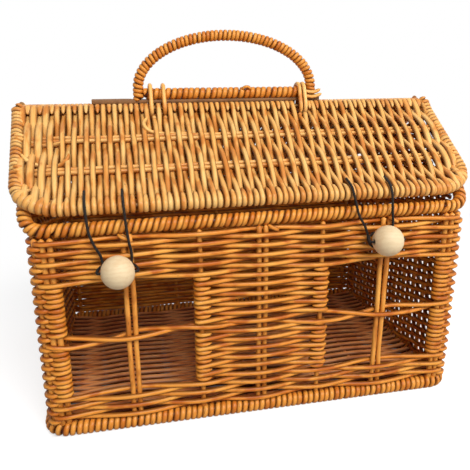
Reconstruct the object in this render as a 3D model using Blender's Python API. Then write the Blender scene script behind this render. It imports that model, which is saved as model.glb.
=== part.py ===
"""House-shaped wicker basket with a hinged roof lid, two windows and an arched handle.

Metres, +Z up, origin on the ground under the middle of the body. The front wall faces -Y.
"""
import math

import bmesh
import bpy
from mathutils import Matrix, Vector

# Fits and cuts
CLEARANCE = 0.0003
OVERRUN = 0.0050

# Strands and stakes
STRAND_RADIUS = 0.0019
STAKE_RADIUS = 0.0024
STAKE_SIDES = 8
BORDER_SIDES = 12

# Body, measured between the middles of its borders. The rims' length sets the body's, the gables'
# and the roof's.
RIM_LENGTH = 0.3206
RIM_END_ROOM = 0.0152
BODY_DEPTH = 0.2140
BASE_RADIUS = 0.0062
BASE_FLAT = 0.0005
BASE_CORNER_RADIUS = 0.0140
BASE_OVERHANG = 0.0020
PANEL_THICKNESS = 0.0110
FLOOR_THICKNESS = 0.0070
FLOOR_LIFT = 0.0022
CORNER_STAKE_INSET = 0.0045
RIM_BELOW_EAVE = 0.0166
RIM_RADIUS = 0.0057
RIM_SETBACK = 0.0030

# Windows, each between a woven column at the front wall's end and the panel in its middle
CORNER_COLUMN = 0.0175
CENTRE_PANEL = 0.1120
WINDOW_HEIGHT = 0.0940
WINDOW_SILL = 0.0365
BAR_RADIUS = 0.0021
BAR_SPACING = 0.0055
CROSSING_HEIGHT = 0.0845
CROSSING_SPACING = 0.0050
CROSSING_HALF_SWAP = 0.0120

# Roof
RIDGE_HEIGHT = 0.2543
RIDGE_ROD_RADIUS = 0.0050
RIDGE_ROD_GAP = 0.0012
ROOF_REACH = 0.1057
EAVE_HEIGHT = 0.1911
EAVE_RADIUS = 0.0057
ROOF_END_OVERHANG = 0.0145
SIDE_RADIUS = 0.0052
SIDE_TAPER = 0.0044
SIDE_OVERHANG = 0.0030
CORNER_RUN = 0.0336
CORNER_RISE = 0.0284
CORNER_ROUND_SHARES = (0.50, 0.60)
ROOF_THICKNESS = 0.0080
ROOF_ROD_RADIUS = 0.0019
ROOF_ROD_SHARES = (0.34, 0.66)
GABLE_OVERHANG = 0.0050
GABLE_RADIUS = 0.0055
GABLE_CORNER_RISE = 0.0157
GABLE_CORNER_PULL = 0.0100
GABLE_CORNER_SHARE = 0.86
GABLE_APEX_ROUND = 0.0100
GABLE_APEX_SHARE = 0.6

# Handle
HANDLE_CENTRE = -0.0070
HANDLE_SPAN = 0.1614
HANDLE_RISE = 0.0452
ARCH_RADIUS = 0.0047
GRIP_BAR_RADIUS = 0.0048
SLAT_THICKNESS = 0.0022
SLAT_WIDTH = 0.0080
SLAT_LEFT_END = 0.0363
SLAT_RIGHT_END = 0.0040

# Lashings that bind the handle to the two ridge rods and let the lid turn
LEFT_LASHING_INSET = 0.0105
LEFT_LASHING_PITCH = 0.0115
RIGHT_LASHING_INSET = 0.0127
RIGHT_LASHING_PITCH = 0.0046
LASHING_TURNS = 2
NOTCH_SIDE_ROOM = 0.0010
NOTCH_DEPTH = 0.0130

# Closures
CORD_RADIUS = 0.0009
CORD_STEP_SHARE = 2.5
BEAD_RADIUS = 0.0125
BEAD_BORE_RADIUS = 0.0022
BEAD_STANDOFF = 0.0149
LEFT_BEAD = (-0.1146, 0.1467)
RIGHT_BEAD = (0.0987, 0.1556)
LEFT_LOOP_ROUTE = (
    (-0.1352, -0.0990, 0.2022), (-0.1352, -0.1050, 0.2001), (-0.1351, -0.1101, 0.1973),
    (-0.1350, -0.1133, 0.1915), (-0.1346, -0.1136, 0.1840), (-0.1337, -0.1136, 0.1740),
    (-0.1305, -0.1137, 0.1640), (-0.1266, -0.1138, 0.1560), (-0.1252, -0.1138, 0.1490),
    (-0.1232, -0.1138, 0.1430), (-0.1190, -0.1138, 0.1390), (-0.1140, -0.1138, 0.1378),
    (-0.1094, -0.1138, 0.1394), (-0.1059, -0.1138, 0.1430), (-0.1042, -0.1138, 0.1490),
    (-0.1037, -0.1138, 0.1560), (-0.1050, -0.1137, 0.1640), (-0.1062, -0.1136, 0.1740),
    (-0.1069, -0.1136, 0.1840), (-0.1073, -0.1133, 0.1915), (-0.1075, -0.1101, 0.1973),
    (-0.1076, -0.1050, 0.2001), (-0.1076, -0.0990, 0.2022),
)
RIGHT_LOOP_ROUTE = (
    (0.0722, -0.0990, 0.2022), (0.0724, -0.1050, 0.2001), (0.0727, -0.1101, 0.1973),
    (0.0736, -0.1133, 0.1915), (0.0757, -0.1136, 0.1840), (0.0790, -0.1136, 0.1740),
    (0.0838, -0.1137, 0.1660), (0.0868, -0.1138, 0.1590), (0.0881, -0.1138, 0.1530),
    (0.0902, -0.1138, 0.1487), (0.0944, -0.1138, 0.1461), (0.0990, -0.1138, 0.1455),
    (0.1034, -0.1138, 0.1468), (0.1070, -0.1138, 0.1500), (0.1090, -0.1138, 0.1550),
    (0.1094, -0.1138, 0.1610), (0.1091, -0.1137, 0.1680), (0.1084, -0.1136, 0.1740),
    (0.1074, -0.1136, 0.1840), (0.1066, -0.1133, 0.1915), (0.1062, -0.1101, 0.1973),
    (0.1060, -0.1050, 0.2001), (0.1060, -0.0990, 0.2022),
)
# Half of a bead's tie, from the wall to the bead's bore: out from the bead's middle, out from the
# wall, and up from the bead's middle
TIE_HALF_ROUTE = (
    (0.0050, 0.0009, 0.0030), (0.0060, 0.0024, 0.0030), (0.0095, 0.0045, 0.0027),
    (0.0126, 0.0072, 0.0020), (0.0145, 0.0106, 0.0010), (0.0149, 0.0134, 0.0003),
    (0.0139, 0.0149, 0.0000), (0.0110, 0.0149, 0.0000), (0.0060, 0.0149, 0.0000),
    (0.0000, 0.0149, 0.0000),
)

# Places that follow from the sizes above
BODY_LENGTH = RIM_LENGTH + 2 * RIM_END_ROOM
GABLE_LENGTH = BODY_LENGTH + 2 * GABLE_OVERHANG
ROOF_LENGTH = BODY_LENGTH + 2 * ROOF_END_OVERHANG
RIM_HEIGHT = EAVE_HEIGHT - RIM_BELOW_EAVE
HALF_LENGTH = BODY_LENGTH / 2
WINDOW_WIDTH = HALF_LENGTH - CORNER_COLUMN - CENTRE_PANEL / 2
WINDOW_SPACING = CENTRE_PANEL + WINDOW_WIDTH
HALF_DEPTH = BODY_DEPTH / 2
BASE_MIDDLE = BASE_RADIUS - BASE_FLAT
WALL_BOTTOM = BASE_MIDDLE + BASE_RADIUS + CLEARANCE
WALL_TOP = RIM_HEIGHT - RIM_RADIUS - CLEARANCE
PANEL_REACH = HALF_LENGTH - PANEL_THICKNESS / 2 + STAKE_RADIUS
WALL_FACE = -HALF_DEPTH - PANEL_THICKNESS / 2
RIDGE_OFFSET = RIDGE_ROD_RADIUS + RIDGE_ROD_GAP / 2
LID_AXIS = Vector((0, -RIDGE_OFFSET, RIDGE_HEIGHT))
SLAT_BOTTOM = RIDGE_HEIGHT + RIDGE_ROD_RADIUS + CLEARANCE
SLAT_TOP = SLAT_BOTTOM + SLAT_THICKNESS
GRIP_BAR_HEIGHT = SLAT_TOP + CLEARANCE + GRIP_BAR_RADIUS
LEFT_LASHING_PLACE = HANDLE_CENTRE - HANDLE_SPAN / 2 + LEFT_LASHING_INSET
RIGHT_LASHING_PLACE = HANDLE_CENTRE + HANDLE_SPAN / 2 - RIGHT_LASHING_INSET
BEAD_MIDDLE = WALL_FACE - BEAD_STANDOFF

CANE = (0.78, 0.37, 0.10)
CANE_DEEP = (0.62, 0.25, 0.06)
CANE_STAKE = (0.70, 0.33, 0.10)
SLAT_WOOD = (0.36, 0.16, 0.05)
BEAD_WOOD = (0.86, 0.77, 0.60)
CORD_BLACK = (0.018, 0.016, 0.015)
CANE_ROUGHNESS = 0.42
WOOD_ROUGHNESS = 0.55
CORD_ROUGHNESS = 0.80


def clear_scene():
    """Take every object out of the open file."""
    for thing in list(bpy.data.objects):
        bpy.data.objects.remove(thing, do_unlink=True)


def paint(thing, colour, roughness):
    """Give an object its own Principled material."""
    material = bpy.data.materials.new(thing.name + "_finish")
    material.use_nodes = True
    shader = material.node_tree.nodes["Principled BSDF"]
    shader.inputs["Base Color"].default_value = (*colour, 1)
    shader.inputs["Roughness"].default_value = roughness
    shader.inputs["Metallic"].default_value = 0
    thing.data.materials.append(material)


def place(name, data, colour, roughness):
    """Link new data to the scene as a painted object."""
    thing = bpy.data.objects.new(name, data)
    bpy.context.collection.objects.link(thing)
    paint(thing, colour, roughness)
    return thing


def mesh_from(name, bm):
    """Close a bmesh into mesh data with its faces pointing out."""
    bmesh.ops.recalc_face_normals(bm, faces=bm.faces)
    mesh = bpy.data.meshes.new(name)
    bm.to_mesh(mesh)
    bm.free()
    return mesh


def shade_round(thing, angle=math.radians(40)):
    """Shade a mesh smooth, apart from its sharp edges."""
    thing.data.shade_smooth()
    thing.data.set_sharp_from_angle(angle=angle)


def tube(name, points, radius, colour, roughness=CANE_ROUGHNESS, sides=BORDER_SIDES):
    """Make a round rod along a polyline, with closed ends."""
    curve = bpy.data.curves.new(name, "CURVE")
    curve.dimensions = "3D"
    curve.bevel_depth = radius
    curve.bevel_resolution = (sides - 4) // 2
    curve.use_fill_caps = True
    spline = curve.splines.new("POLY")
    spline.points.add(len(points) - 1)
    for slot, point in zip(spline.points, points):
        slot.co = (*point, 1)
    spline.use_smooth = True
    return place(name, curve, colour, roughness)


def smooth_route(route, step):
    """Read evenly spaced points from a Catmull-Rom curve through a route's points."""
    points = [Vector(point) for point in route]
    padded = [2 * points[0] - points[1], *points, 2 * points[-1] - points[-2]]
    dense = [points[0]]
    reads = 12
    for before, start, end, after in zip(padded, padded[1:], padded[2:], padded[3:]):
        for read in range(1, reads + 1):
            t = read / reads
            dense.append(0.5 * (2 * start + (end - before) * t
                                + (2 * before - 5 * start + 4 * end - after) * t ** 2
                                + (3 * start - before - 3 * end + after) * t ** 3))
    travelled = [0.0]
    for a, b in zip(dense, dense[1:]):
        travelled.append(travelled[-1] + (b - a).length)
    count = max(2, round(travelled[-1] / step))
    result = []
    place_in_route = 0
    for index in range(count + 1):
        target = travelled[-1] * index / count
        while place_in_route < len(dense) - 2 and travelled[place_in_route + 1] < target:
            place_in_route += 1
        span = travelled[place_in_route + 1] - travelled[place_in_route]
        share = (target - travelled[place_in_route]) / span
        result.append(dense[place_in_route].lerp(dense[place_in_route + 1], share))
    return result


def bezier(start, start_pull, end_pull, end, count):
    """Read points from a cubic Bezier curve, both ends included."""
    points = []
    for index in range(count + 1):
        t = index / count
        points.append(start * (1 - t) ** 3 + 3 * start_pull * t * (1 - t) ** 2
                      + 3 * end_pull * t ** 2 * (1 - t) + end * t ** 3)
    return points


def loft(sections, closed=False):
    """Join like polygons into one solid, capped at both ends unless it runs in a ring."""
    bm = bmesh.new()
    rings = [[bm.verts.new(point) for point in section] for section in sections]
    pairs = list(zip(rings, rings[1:]))
    if closed:
        pairs.append((rings[-1], rings[0]))
    for first, second in pairs:
        for index in range(len(first)):
            following = (index + 1) % len(first)
            bm.faces.new((first[index], first[following], second[following], second[index]))
    if not closed:
        bm.faces.new(rings[0])
        bm.faces.new(rings[-1])
    return bm


def add_box(bm, low, high, matrix=None):
    """Add a box between two corners to a bmesh."""
    low, high = Vector(low), Vector(high)
    made = bmesh.ops.create_cube(bm, size=1)
    size = high - low
    change = Matrix.Translation((low + high) / 2) @ Matrix.Diagonal((*size, 1))
    if matrix is not None:
        change = matrix @ change
    bmesh.ops.transform(bm, matrix=change, verts=made["verts"])


def add_upright_bore(bm, x, y, low, high, radius):
    """Add a vertical cutter that clears a round stake of the given radius."""
    cut = (radius + CLEARANCE) / math.cos(math.pi / STAKE_SIDES)
    made = bmesh.ops.create_cone(bm, cap_ends=True, segments=STAKE_SIDES, radius1=cut,
                                 radius2=cut, depth=high - low)
    move = Matrix.Translation((x, y, (low + high) / 2))
    turn = Matrix.Rotation(math.pi / STAKE_SIDES, 4, "Z")
    bmesh.ops.transform(bm, matrix=move @ turn, verts=made["verts"])


def cut_away(thing, name, bm):
    """Subtract a cutter from an object with a live Boolean."""
    cutter = bpy.data.objects.new(name, mesh_from(name, bm))
    bpy.context.collection.objects.link(cutter)
    cutter.hide_render = True
    cutter.display_type = "WIRE"
    boolean = thing.modifiers.new(name, "BOOLEAN")
    boolean.operation = "DIFFERENCE"
    boolean.object = cutter


def upright(name, x, y, low, high, radius, colour=CANE_STAKE):
    """Make a vertical round stake."""
    return tube(name, [(x, y, low), (x, y, high)], radius, colour, sides=STAKE_SIDES)


def along(start, end, share):
    """Give the point at a share of the way from one point to another."""
    return start + (end - start) * share


# Roof slopes, shared by the lid, the fixed rear slope and the gable borders
#
# A slope is flat. Its own frame has X along the ridge, a second axis down the slope from the
# middle of the ridge rod and a third square out of it; side is -1 at the front and 1 behind.

def slope_length():
    """Give the way down a slope from the middle of its ridge rod to the middle of its eave."""
    return math.hypot(ROOF_REACH - RIDGE_OFFSET, RIDGE_HEIGHT - EAVE_HEIGHT)


def slope_frame(side):
    """Give the matrix that carries a slope's own frame into place."""
    level = (ROOF_REACH - RIDGE_OFFSET) / slope_length()
    fall = (RIDGE_HEIGHT - EAVE_HEIGHT) / slope_length()
    return Matrix((
        (1, 0, 0, 0),
        (0, side * level, side * fall, side * RIDGE_OFFSET),
        (0, -fall, level, RIDGE_HEIGHT),
        (0, 0, 0, 1),
    ))


def side_middle(down):
    """Give how far a side border's middle is from the roof's middle, at a place down the slope."""
    return ROOF_LENGTH / 2 - SIDE_TAPER * down / (slope_length() - CORNER_RISE)


def side_path():
    """Give the right side border's middle in the slope's frame, round its corner to the eave.

    It ends in a short straight run, so that its end is square to the eave border's.
    """
    foot = slope_length() - CORNER_RISE
    start = Vector((side_middle(foot), foot, 0))
    end = Vector((start.x - CORNER_RUN, slope_length(), 0))
    down_share, side_share = CORNER_ROUND_SHARES
    start_pull = start + Vector((0, CORNER_RISE * down_share, 0))
    end_pull = end + Vector((CORNER_RUN * side_share, 0, 0))
    top = Vector((side_middle(-SIDE_OVERHANG), -SIDE_OVERHANG, 0))
    butt = end - Vector((SIDE_RADIUS, 0, 0))
    return [top] + bezier(start, start_pull, end_pull, end, 8) + [butt]


def weave_outline():
    """Give the outline of a slope's weave in the slope's frame, inside its four borders."""
    path = side_path()
    inward = SIDE_RADIUS + CLEARANCE
    top = RIDGE_ROD_RADIUS + CLEARANCE
    foot = slope_length() - EAVE_RADIUS - CLEARANCE
    right = [Vector((side_middle(top) - inward, top, 0))]
    for before, point, after in zip(path, path[1:], path[2:]):
        run = (after - before).normalized()
        right.append(point + Vector((-run.y, run.x, 0)) * inward)
    right.append(Vector((path[-1].x, foot, 0)))
    return right + [Vector((-point.x, point.y, 0)) for point in reversed(right)]


def lashing_places():
    """Give x of each lashing turn."""
    left = [LEFT_LASHING_PLACE + LEFT_LASHING_PITCH * turn for turn in range(LASHING_TURNS)]
    right = [RIGHT_LASHING_PLACE + RIGHT_LASHING_PITCH * turn for turn in range(LASHING_TURNS)]
    return left, right


def notch_spans():
    """Give the x span of each notch: one per turn, or one for turns that lie side by side."""
    room = STRAND_RADIUS + NOTCH_SIDE_ROOM
    spans = []
    for group in lashing_places():
        for x in group:
            if spans and x - room < spans[-1][1] + room:
                spans[-1] = (spans[-1][0], x + room)
            else:
                spans.append((x - room, x + room))
    return spans


def make_roof_slope(prefix, side):
    """Make one slope of the roof: its weave, borders, ridge rod and the rods woven through."""
    frame = slope_frame(side)
    half = Vector((0, 0, ROOF_THICKNESS / 2))
    outline = weave_outline()
    sheet = loft([[frame @ (point - half) for point in outline],
                  [frame @ (point + half) for point in outline]])
    weave = place(prefix + "_weave", mesh_from(prefix + "_weave", sheet), CANE, CANE_ROUGHNESS)

    cutters = bmesh.new()
    pair_shift = ROOF_ROD_RADIUS + CLEARANCE / 2
    room = ROOF_ROD_RADIUS + CLEARANCE
    for index, share in enumerate(ROOF_ROD_SHARES):
        middle = slope_length() * share
        across = pair_shift + room
        add_box(cutters, (-ROOF_LENGTH / 2 - OVERRUN, middle - across, -room),
                (ROOF_LENGTH / 2 + OVERRUN, middle + across, room), frame)
        for part, down in (("upper", middle - pair_shift), ("lower", middle + pair_shift)):
            reach = side_middle(down) - SIDE_RADIUS - CLEARANCE
            tube(f"{prefix}_rod_{index + 1}_{part}",
                 [frame @ Vector((-reach, down, 0)), frame @ Vector((reach, down, 0))],
                 ROOF_ROD_RADIUS, CANE_STAKE, sides=STAKE_SIDES)
    for low, high in notch_spans():
        add_box(cutters, (low, 0, -ROOF_THICKNESS), (high, NOTCH_DEPTH, ROOF_THICKNESS), frame)
    cut_away(weave, prefix + "_weave_cuts", cutters)

    reach = side_middle(0) - SIDE_RADIUS - CLEARANCE
    tube(prefix + "_ridge_rod", [frame @ Vector((-reach, 0, 0)), frame @ Vector((reach, 0, 0))],
         RIDGE_ROD_RADIUS, CANE)
    border = side_path()
    reach = border[-1].x - CLEARANCE
    foot = slope_length()
    tube(prefix + "_eave_border",
         [frame @ Vector((-reach, foot, 0)), frame @ Vector((reach, foot, 0))], EAVE_RADIUS, CANE)
    for word, hand in (("left", -1), ("right", 1)):
        tube(f"{prefix}_side_border_{word}",
             [frame @ Vector((hand * point.x, point.y, 0)) for point in border], SIDE_RADIUS, CANE)


# Body

def make_base_border():
    """Make the ring that the basket stands on, round in section and cut flat below."""
    corner = BASE_CORNER_RADIUS
    half = HALF_LENGTH + BASE_OVERHANG
    centres = [(half - corner, HALF_DEPTH - corner), (corner - half, HALF_DEPTH - corner),
               (corner - half, corner - HALF_DEPTH), (half - corner, corner - HALF_DEPTH)]
    corner_steps = 5
    sections = []
    for quarter, (x, y) in enumerate(centres):
        for step in range(corner_steps + 1):
            angle = math.pi / 2 * (quarter + step / corner_steps)
            outward = Vector((math.cos(angle), math.sin(angle), 0))
            middle = Vector((x, y, BASE_MIDDLE)) + outward * corner
            section = []
            for index in range(BORDER_SIDES):
                turn = 2 * math.pi * (index + 0.5) / BORDER_SIDES
                point = middle + outward * (BASE_RADIUS * math.cos(turn))
                point.z = max(0.0, point.z + BASE_RADIUS * math.sin(turn))
                section.append(point)
            sections.append(section)
    ring = place("base_border", mesh_from("base_border", loft(sections, closed=True)), CANE_DEEP,
                 CANE_ROUGHNESS)
    shade_round(ring)


def make_floor():
    """Make the woven floor that fills the base border."""
    room = BASE_RADIUS + CLEARANCE
    corner = BASE_CORNER_RADIUS - room
    bm = bmesh.new()
    outline = []
    corner_steps = 3
    for quarter, (sx, sy) in enumerate(((1, 1), (-1, 1), (-1, -1), (1, -1))):
        for step in range(corner_steps + 1):
            angle = math.pi / 2 * (quarter + step / corner_steps)
            outline.append(bm.verts.new((
                sx * (HALF_LENGTH + BASE_OVERHANG - room - corner) + corner * math.cos(angle),
                sy * (HALF_DEPTH - room - corner) + corner * math.sin(angle),
                FLOOR_LIFT)))
    face = bm.faces.new(outline)
    risen = bmesh.ops.extrude_face_region(bm, geom=[face])
    top = [part for part in risen["geom"] if isinstance(part, bmesh.types.BMVert)]
    bmesh.ops.translate(bm, verts=top, vec=(0, 0, FLOOR_THICKNESS))
    place("floor_weave", mesh_from("floor_weave", bm), CANE_DEEP, CANE_ROUGHNESS)


def window_middles():
    """Give each window's word and the x of its middle."""
    return ("left", -WINDOW_SPACING / 2), ("right", WINDOW_SPACING / 2)


def long_wall_stakes(side):
    """Give name, x and radius of each stake in the front (-1) or back (1) wall."""
    wall = "front" if side < 0 else "back"
    corner = PANEL_REACH - CORNER_STAKE_INSET
    stakes = [(wall + "_left_post", -corner, STAKE_RADIUS),
              (wall + "_right_post", corner, STAKE_RADIUS)]
    pair = BAR_SPACING / 2
    if side < 0:
        for word, middle in window_middles():
            stakes.append((f"{word}_window_bar_left", middle - pair, BAR_RADIUS))
            stakes.append((f"{word}_window_bar_right", middle + pair, BAR_RADIUS))
        stakes.append(("front_centre_stake_left", -pair, BAR_RADIUS))
        stakes.append(("front_centre_stake_right", pair, BAR_RADIUS))
    else:
        for word, middle in window_middles():
            stakes.append((f"back_{word}_stake", middle, STAKE_RADIUS))
        stakes.append(("back_centre_stake", 0.0, STAKE_RADIUS))
    return stakes


def make_long_wall(side):
    """Make the front or back wall's weave and the stakes inside it."""
    wall = "front" if side < 0 else "back"
    middle = side * HALF_DEPTH
    half = PANEL_THICKNESS / 2
    body = bmesh.new()
    add_box(body, (-PANEL_REACH, middle - half, WALL_BOTTOM), (PANEL_REACH, middle + half, WALL_TOP))
    weave = place(wall + "_wall_weave", mesh_from(wall + "_wall_weave", body), CANE, CANE_ROUGHNESS)
    if side < 0:
        holes = bmesh.new()
        for _, x in window_middles():
            add_box(holes, (x - WINDOW_WIDTH / 2, middle - half - OVERRUN, WINDOW_SILL),
                    (x + WINDOW_WIDTH / 2, middle + half + OVERRUN, WINDOW_SILL + WINDOW_HEIGHT))
        cut_away(weave, "window_cuts", holes)
    bores = bmesh.new()
    for name, x, radius in long_wall_stakes(side):
        add_upright_bore(bores, x, middle, WALL_BOTTOM - OVERRUN, WALL_TOP + OVERRUN, radius)
        upright(name, x, middle, WALL_BOTTOM, WALL_TOP, radius)
    cut_away(weave, wall + "_stake_bores", bores)


def make_window_weavers():
    """Make the two strands that cross each window and change places at its bars."""
    sidestep = BAR_RADIUS + CLEARANCE + STRAND_RADIUS
    half = CROSSING_SPACING / 2
    swap = CROSSING_HALF_SWAP
    for word, middle in window_middles():
        edge = WINDOW_WIDTH / 2 - CLEARANCE
        for part, side in (("front", -1), ("back", 1)):
            start = side * -half
            route = ((-edge, 0, start), (-edge + swap, 0, start), (-swap, side * sidestep, start),
                     (0, side * sidestep, 0), (swap, side * sidestep, -start),
                     (edge - swap, 0, -start), (edge, 0, -start))
            points = [Vector((middle + x, y - HALF_DEPTH, CROSSING_HEIGHT + z)) for x, y, z in route]
            tube(f"{word}_window_weaver_{part}", smooth_route(points, 3 * STRAND_RADIUS),
                 STRAND_RADIUS, CANE, sides=STAKE_SIDES)


def gable_apex():
    """Give the point where the middles of a gable border's two slopes would meet.

    The lid's side borders rest on the gable borders where they round the lid's corners.
    """
    drop = SIDE_RADIUS + GABLE_RADIUS + CLEARANCE
    frame = slope_frame(-1)
    top = frame @ Vector((GABLE_LENGTH / 2, 0, -drop))
    down = gable_slope()
    return top + down * (top.y / -down.y)


def gable_slope():
    """Give the direction down the front half of a gable border."""
    return slope_frame(-1).to_3x3() @ Vector((0, 1, 0))


def make_gable_border(word, hand):
    """Make a gable's border: up from the front rim, over the ridge and down to the back rim."""
    apex = gable_apex()
    down = gable_slope()
    corner_reach = (ROOF_REACH - GABLE_CORNER_RISE) / abs(down.y)
    slope_foot = apex + down * corner_reach
    rim_end = Vector((RIM_LENGTH / 2, RIM_SETBACK - HALF_DEPTH, RIM_HEIGHT))
    bend_start = rim_end + Vector((RIM_RADIUS, 0, 0))
    sweep = Vector((GABLE_LENGTH / 2 - bend_start.x, 0, 0)) * GABLE_CORNER_SHARE
    front = [rim_end] + bezier(bend_start, bend_start + sweep,
                               slope_foot + down * GABLE_CORNER_PULL, slope_foot, 10)
    shoulder = apex + down * GABLE_APEX_ROUND
    mirrored = Vector((shoulder.x, -shoulder.y, shoulder.z))
    crown = bezier(shoulder, along(shoulder, apex, GABLE_APEX_SHARE),
                   along(mirrored, apex, GABLE_APEX_SHARE), mirrored, 4)
    half = front + crown[:3]
    path = half + [Vector((point.x, -point.y, point.z)) for point in reversed(half[:-1])]
    points = [Vector((hand * point.x, point.y, point.z)) for point in path]
    tube(f"{word}_gable_border", points, GABLE_RADIUS, CANE)


def make_end_wall(word, hand):
    """Make an end wall's weave, gable included, and the stake that holds up its peak."""
    apex = gable_apex()
    down = gable_slope()
    under = (GABLE_RADIUS + CLEARANCE) / abs(down.y)
    edge = HALF_DEPTH - PANEL_THICKNESS / 2 - CLEARANCE
    cut = ROOF_REACH - GABLE_CORNER_RISE - GABLE_RADIUS
    slope = down.z / down.y
    shoulder = apex.z - cut * slope - under
    flat = GABLE_APEX_ROUND * abs(down.y)
    peak = apex.z - flat * slope - under
    outline = [(-edge, WALL_BOTTOM), (edge, WALL_BOTTOM), (edge, WALL_TOP), (cut, shoulder),
               (flat, peak), (-flat, peak), (-cut, shoulder), (-edge, WALL_TOP)]
    faces = (hand * HALF_LENGTH - PANEL_THICKNESS / 2, hand * HALF_LENGTH + PANEL_THICKNESS / 2)
    sections = [[Vector((x, y, z)) for y, z in outline] for x in faces]
    name = word + "_wall_weave"
    weave = place(name, mesh_from(name, loft(sections)), CANE, CANE_ROUGHNESS)
    bores = bmesh.new()
    add_upright_bore(bores, hand * HALF_LENGTH, 0, WALL_BOTTOM - OVERRUN, peak + OVERRUN,
                     STAKE_RADIUS)
    cut_away(weave, word + "_stake_bore", bores)
    upright(word + "_wall_stake", hand * HALF_LENGTH, 0, WALL_BOTTOM, peak, STAKE_RADIUS)


def make_rims():
    """Make the wrapped rims along the tops of the front and back walls."""
    reach = RIM_LENGTH / 2 - CLEARANCE
    for name, side in (("front_rim", -1), ("back_rim", 1)):
        y = side * (HALF_DEPTH - RIM_SETBACK)
        tube(name, [(-reach, y, RIM_HEIGHT), (reach, y, RIM_HEIGHT)], RIM_RADIUS, CANE)


# Handle

def make_handle():
    """Make the arch, the wrapped grip bar between its feet and the slat under both."""
    half = HANDLE_SPAN / 2
    steps = 28
    spring = GRIP_BAR_HEIGHT + GRIP_BAR_RADIUS
    arch = [Vector((HANDLE_CENTRE - half, 0, SLAT_TOP + CLEARANCE))]
    for step in range(steps + 1):
        angle = math.pi * (1 - step / steps)
        arch.append(Vector((HANDLE_CENTRE + half * math.cos(angle), 0,
                            spring + HANDLE_RISE * math.sin(angle))))
    arch.append(Vector((HANDLE_CENTRE + half, 0, SLAT_TOP + CLEARANCE)))
    tube("handle_arch", arch, ARCH_RADIUS, CANE)
    reach = half - ARCH_RADIUS - CLEARANCE
    tube("handle_bar", [(HANDLE_CENTRE - reach, 0, GRIP_BAR_HEIGHT),
                        (HANDLE_CENTRE + reach, 0, GRIP_BAR_HEIGHT)], GRIP_BAR_RADIUS, CANE)
    bm = bmesh.new()
    add_box(bm, (HANDLE_CENTRE - half - ARCH_RADIUS - SLAT_LEFT_END, -SLAT_WIDTH / 2, SLAT_BOTTOM),
            (HANDLE_CENTRE + half + ARCH_RADIUS + SLAT_RIGHT_END, SLAT_WIDTH / 2, SLAT_TOP))
    place("ridge_slat", mesh_from("ridge_slat", bm), SLAT_WOOD, WOOD_ROUGHNESS)


def lashing_belt():
    """Give the (y, z) points of one turn pulled tight round the grip bar and both ridge rods.

    The belt follows three circles, a strand's radius outside the pieces that it binds: from
    under the rear rod, up over the bar, down the front and under the front rod.
    """
    room = CLEARANCE + STRAND_RADIUS
    rod = RIDGE_ROD_RADIUS + room
    bar = max(GRIP_BAR_RADIUS, SLAT_WIDTH / 2) + room
    rise = GRIP_BAR_HEIGHT - RIDGE_HEIGHT
    gap = math.hypot(RIDGE_OFFSET, rise)
    lean = math.atan2(RIDGE_OFFSET, rise) - math.asin((rod - bar) / gap)
    points = []
    for step in range(5):
        angle = -math.pi / 2 + (math.pi / 2 + lean) * step / 4
        points.append((RIDGE_OFFSET + rod * math.cos(angle), RIDGE_HEIGHT + rod * math.sin(angle)))
    for step in range(9):
        angle = lean + (math.pi - 2 * lean) * step / 8
        points.append((bar * math.cos(angle), GRIP_BAR_HEIGHT + bar * math.sin(angle)))
    for step in range(5):
        angle = math.pi - lean + (math.pi / 2 + lean) * step / 4
        points.append((-RIDGE_OFFSET + rod * math.cos(angle), RIDGE_HEIGHT + rod * math.sin(angle)))
    return points


def least_gap(points, radius):
    """Measure how near a wound strand's turns come to each other, on points along its middle."""
    samples = []
    travelled = 0.0
    for start, end in zip(points, points[1:]):
        length = (end - start).length
        count = math.ceil(2 * length / radius)
        for index in range(count):
            share = index / count
            samples.append((travelled + length * share, along(start, end, share)))
        travelled += length
    next_turn = 2 * math.pi * radius
    nearest = min((here - there).length for place_here, here in samples
                  for place_there, there in samples if place_there - place_here > next_turn)
    return nearest - 2 * radius


def make_lashing(name, start, pitch):
    """Wind a lashing as one strand, whose turns step along the ridge where they pass under it."""
    points = []
    for turn in range(LASHING_TURNS):
        points += [Vector((start + pitch * turn, y, z)) for y, z in lashing_belt()]
    print(f"{name}: least gap to itself {1000 * least_gap(points, STRAND_RADIUS):.2f} mm")
    tube(name, points, STRAND_RADIUS, CANE, sides=6)


def make_lashings():
    """Make both lashings."""
    make_lashing("left_lashing", LEFT_LASHING_PLACE, LEFT_LASHING_PITCH)
    make_lashing("right_lashing", RIGHT_LASHING_PLACE, RIGHT_LASHING_PITCH)


# Closures

def make_bead(word, x, z):
    """Make a round wooden bead with a bore along X, as a turned profile."""
    rim = math.asin(BEAD_BORE_RADIUS / BEAD_RADIUS)
    arc_steps = 14
    profile = []
    for step in range(arc_steps + 1):
        angle = rim + (math.pi - 2 * rim) * step / arc_steps
        profile.append((BEAD_RADIUS * math.cos(angle), BEAD_RADIUS * math.sin(angle)))
    sides = 20
    sections = []
    for index in range(sides):
        turn = 2 * math.pi * index / sides
        sections.append([Vector((along_bore, out * math.cos(turn), out * math.sin(turn)))
                         for along_bore, out in profile])
    name = word + "_bead"
    bead = place(name, mesh_from(name, loft(sections, closed=True)), BEAD_WOOD, WOOD_ROUGHNESS)
    shade_round(bead)
    bead.location = (x, BEAD_MIDDLE, z)
    return bead


def bead_axis_height():
    """Give how far a bead's swing axis is above its middle."""
    return TIE_HALF_ROUTE[0][2]


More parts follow.
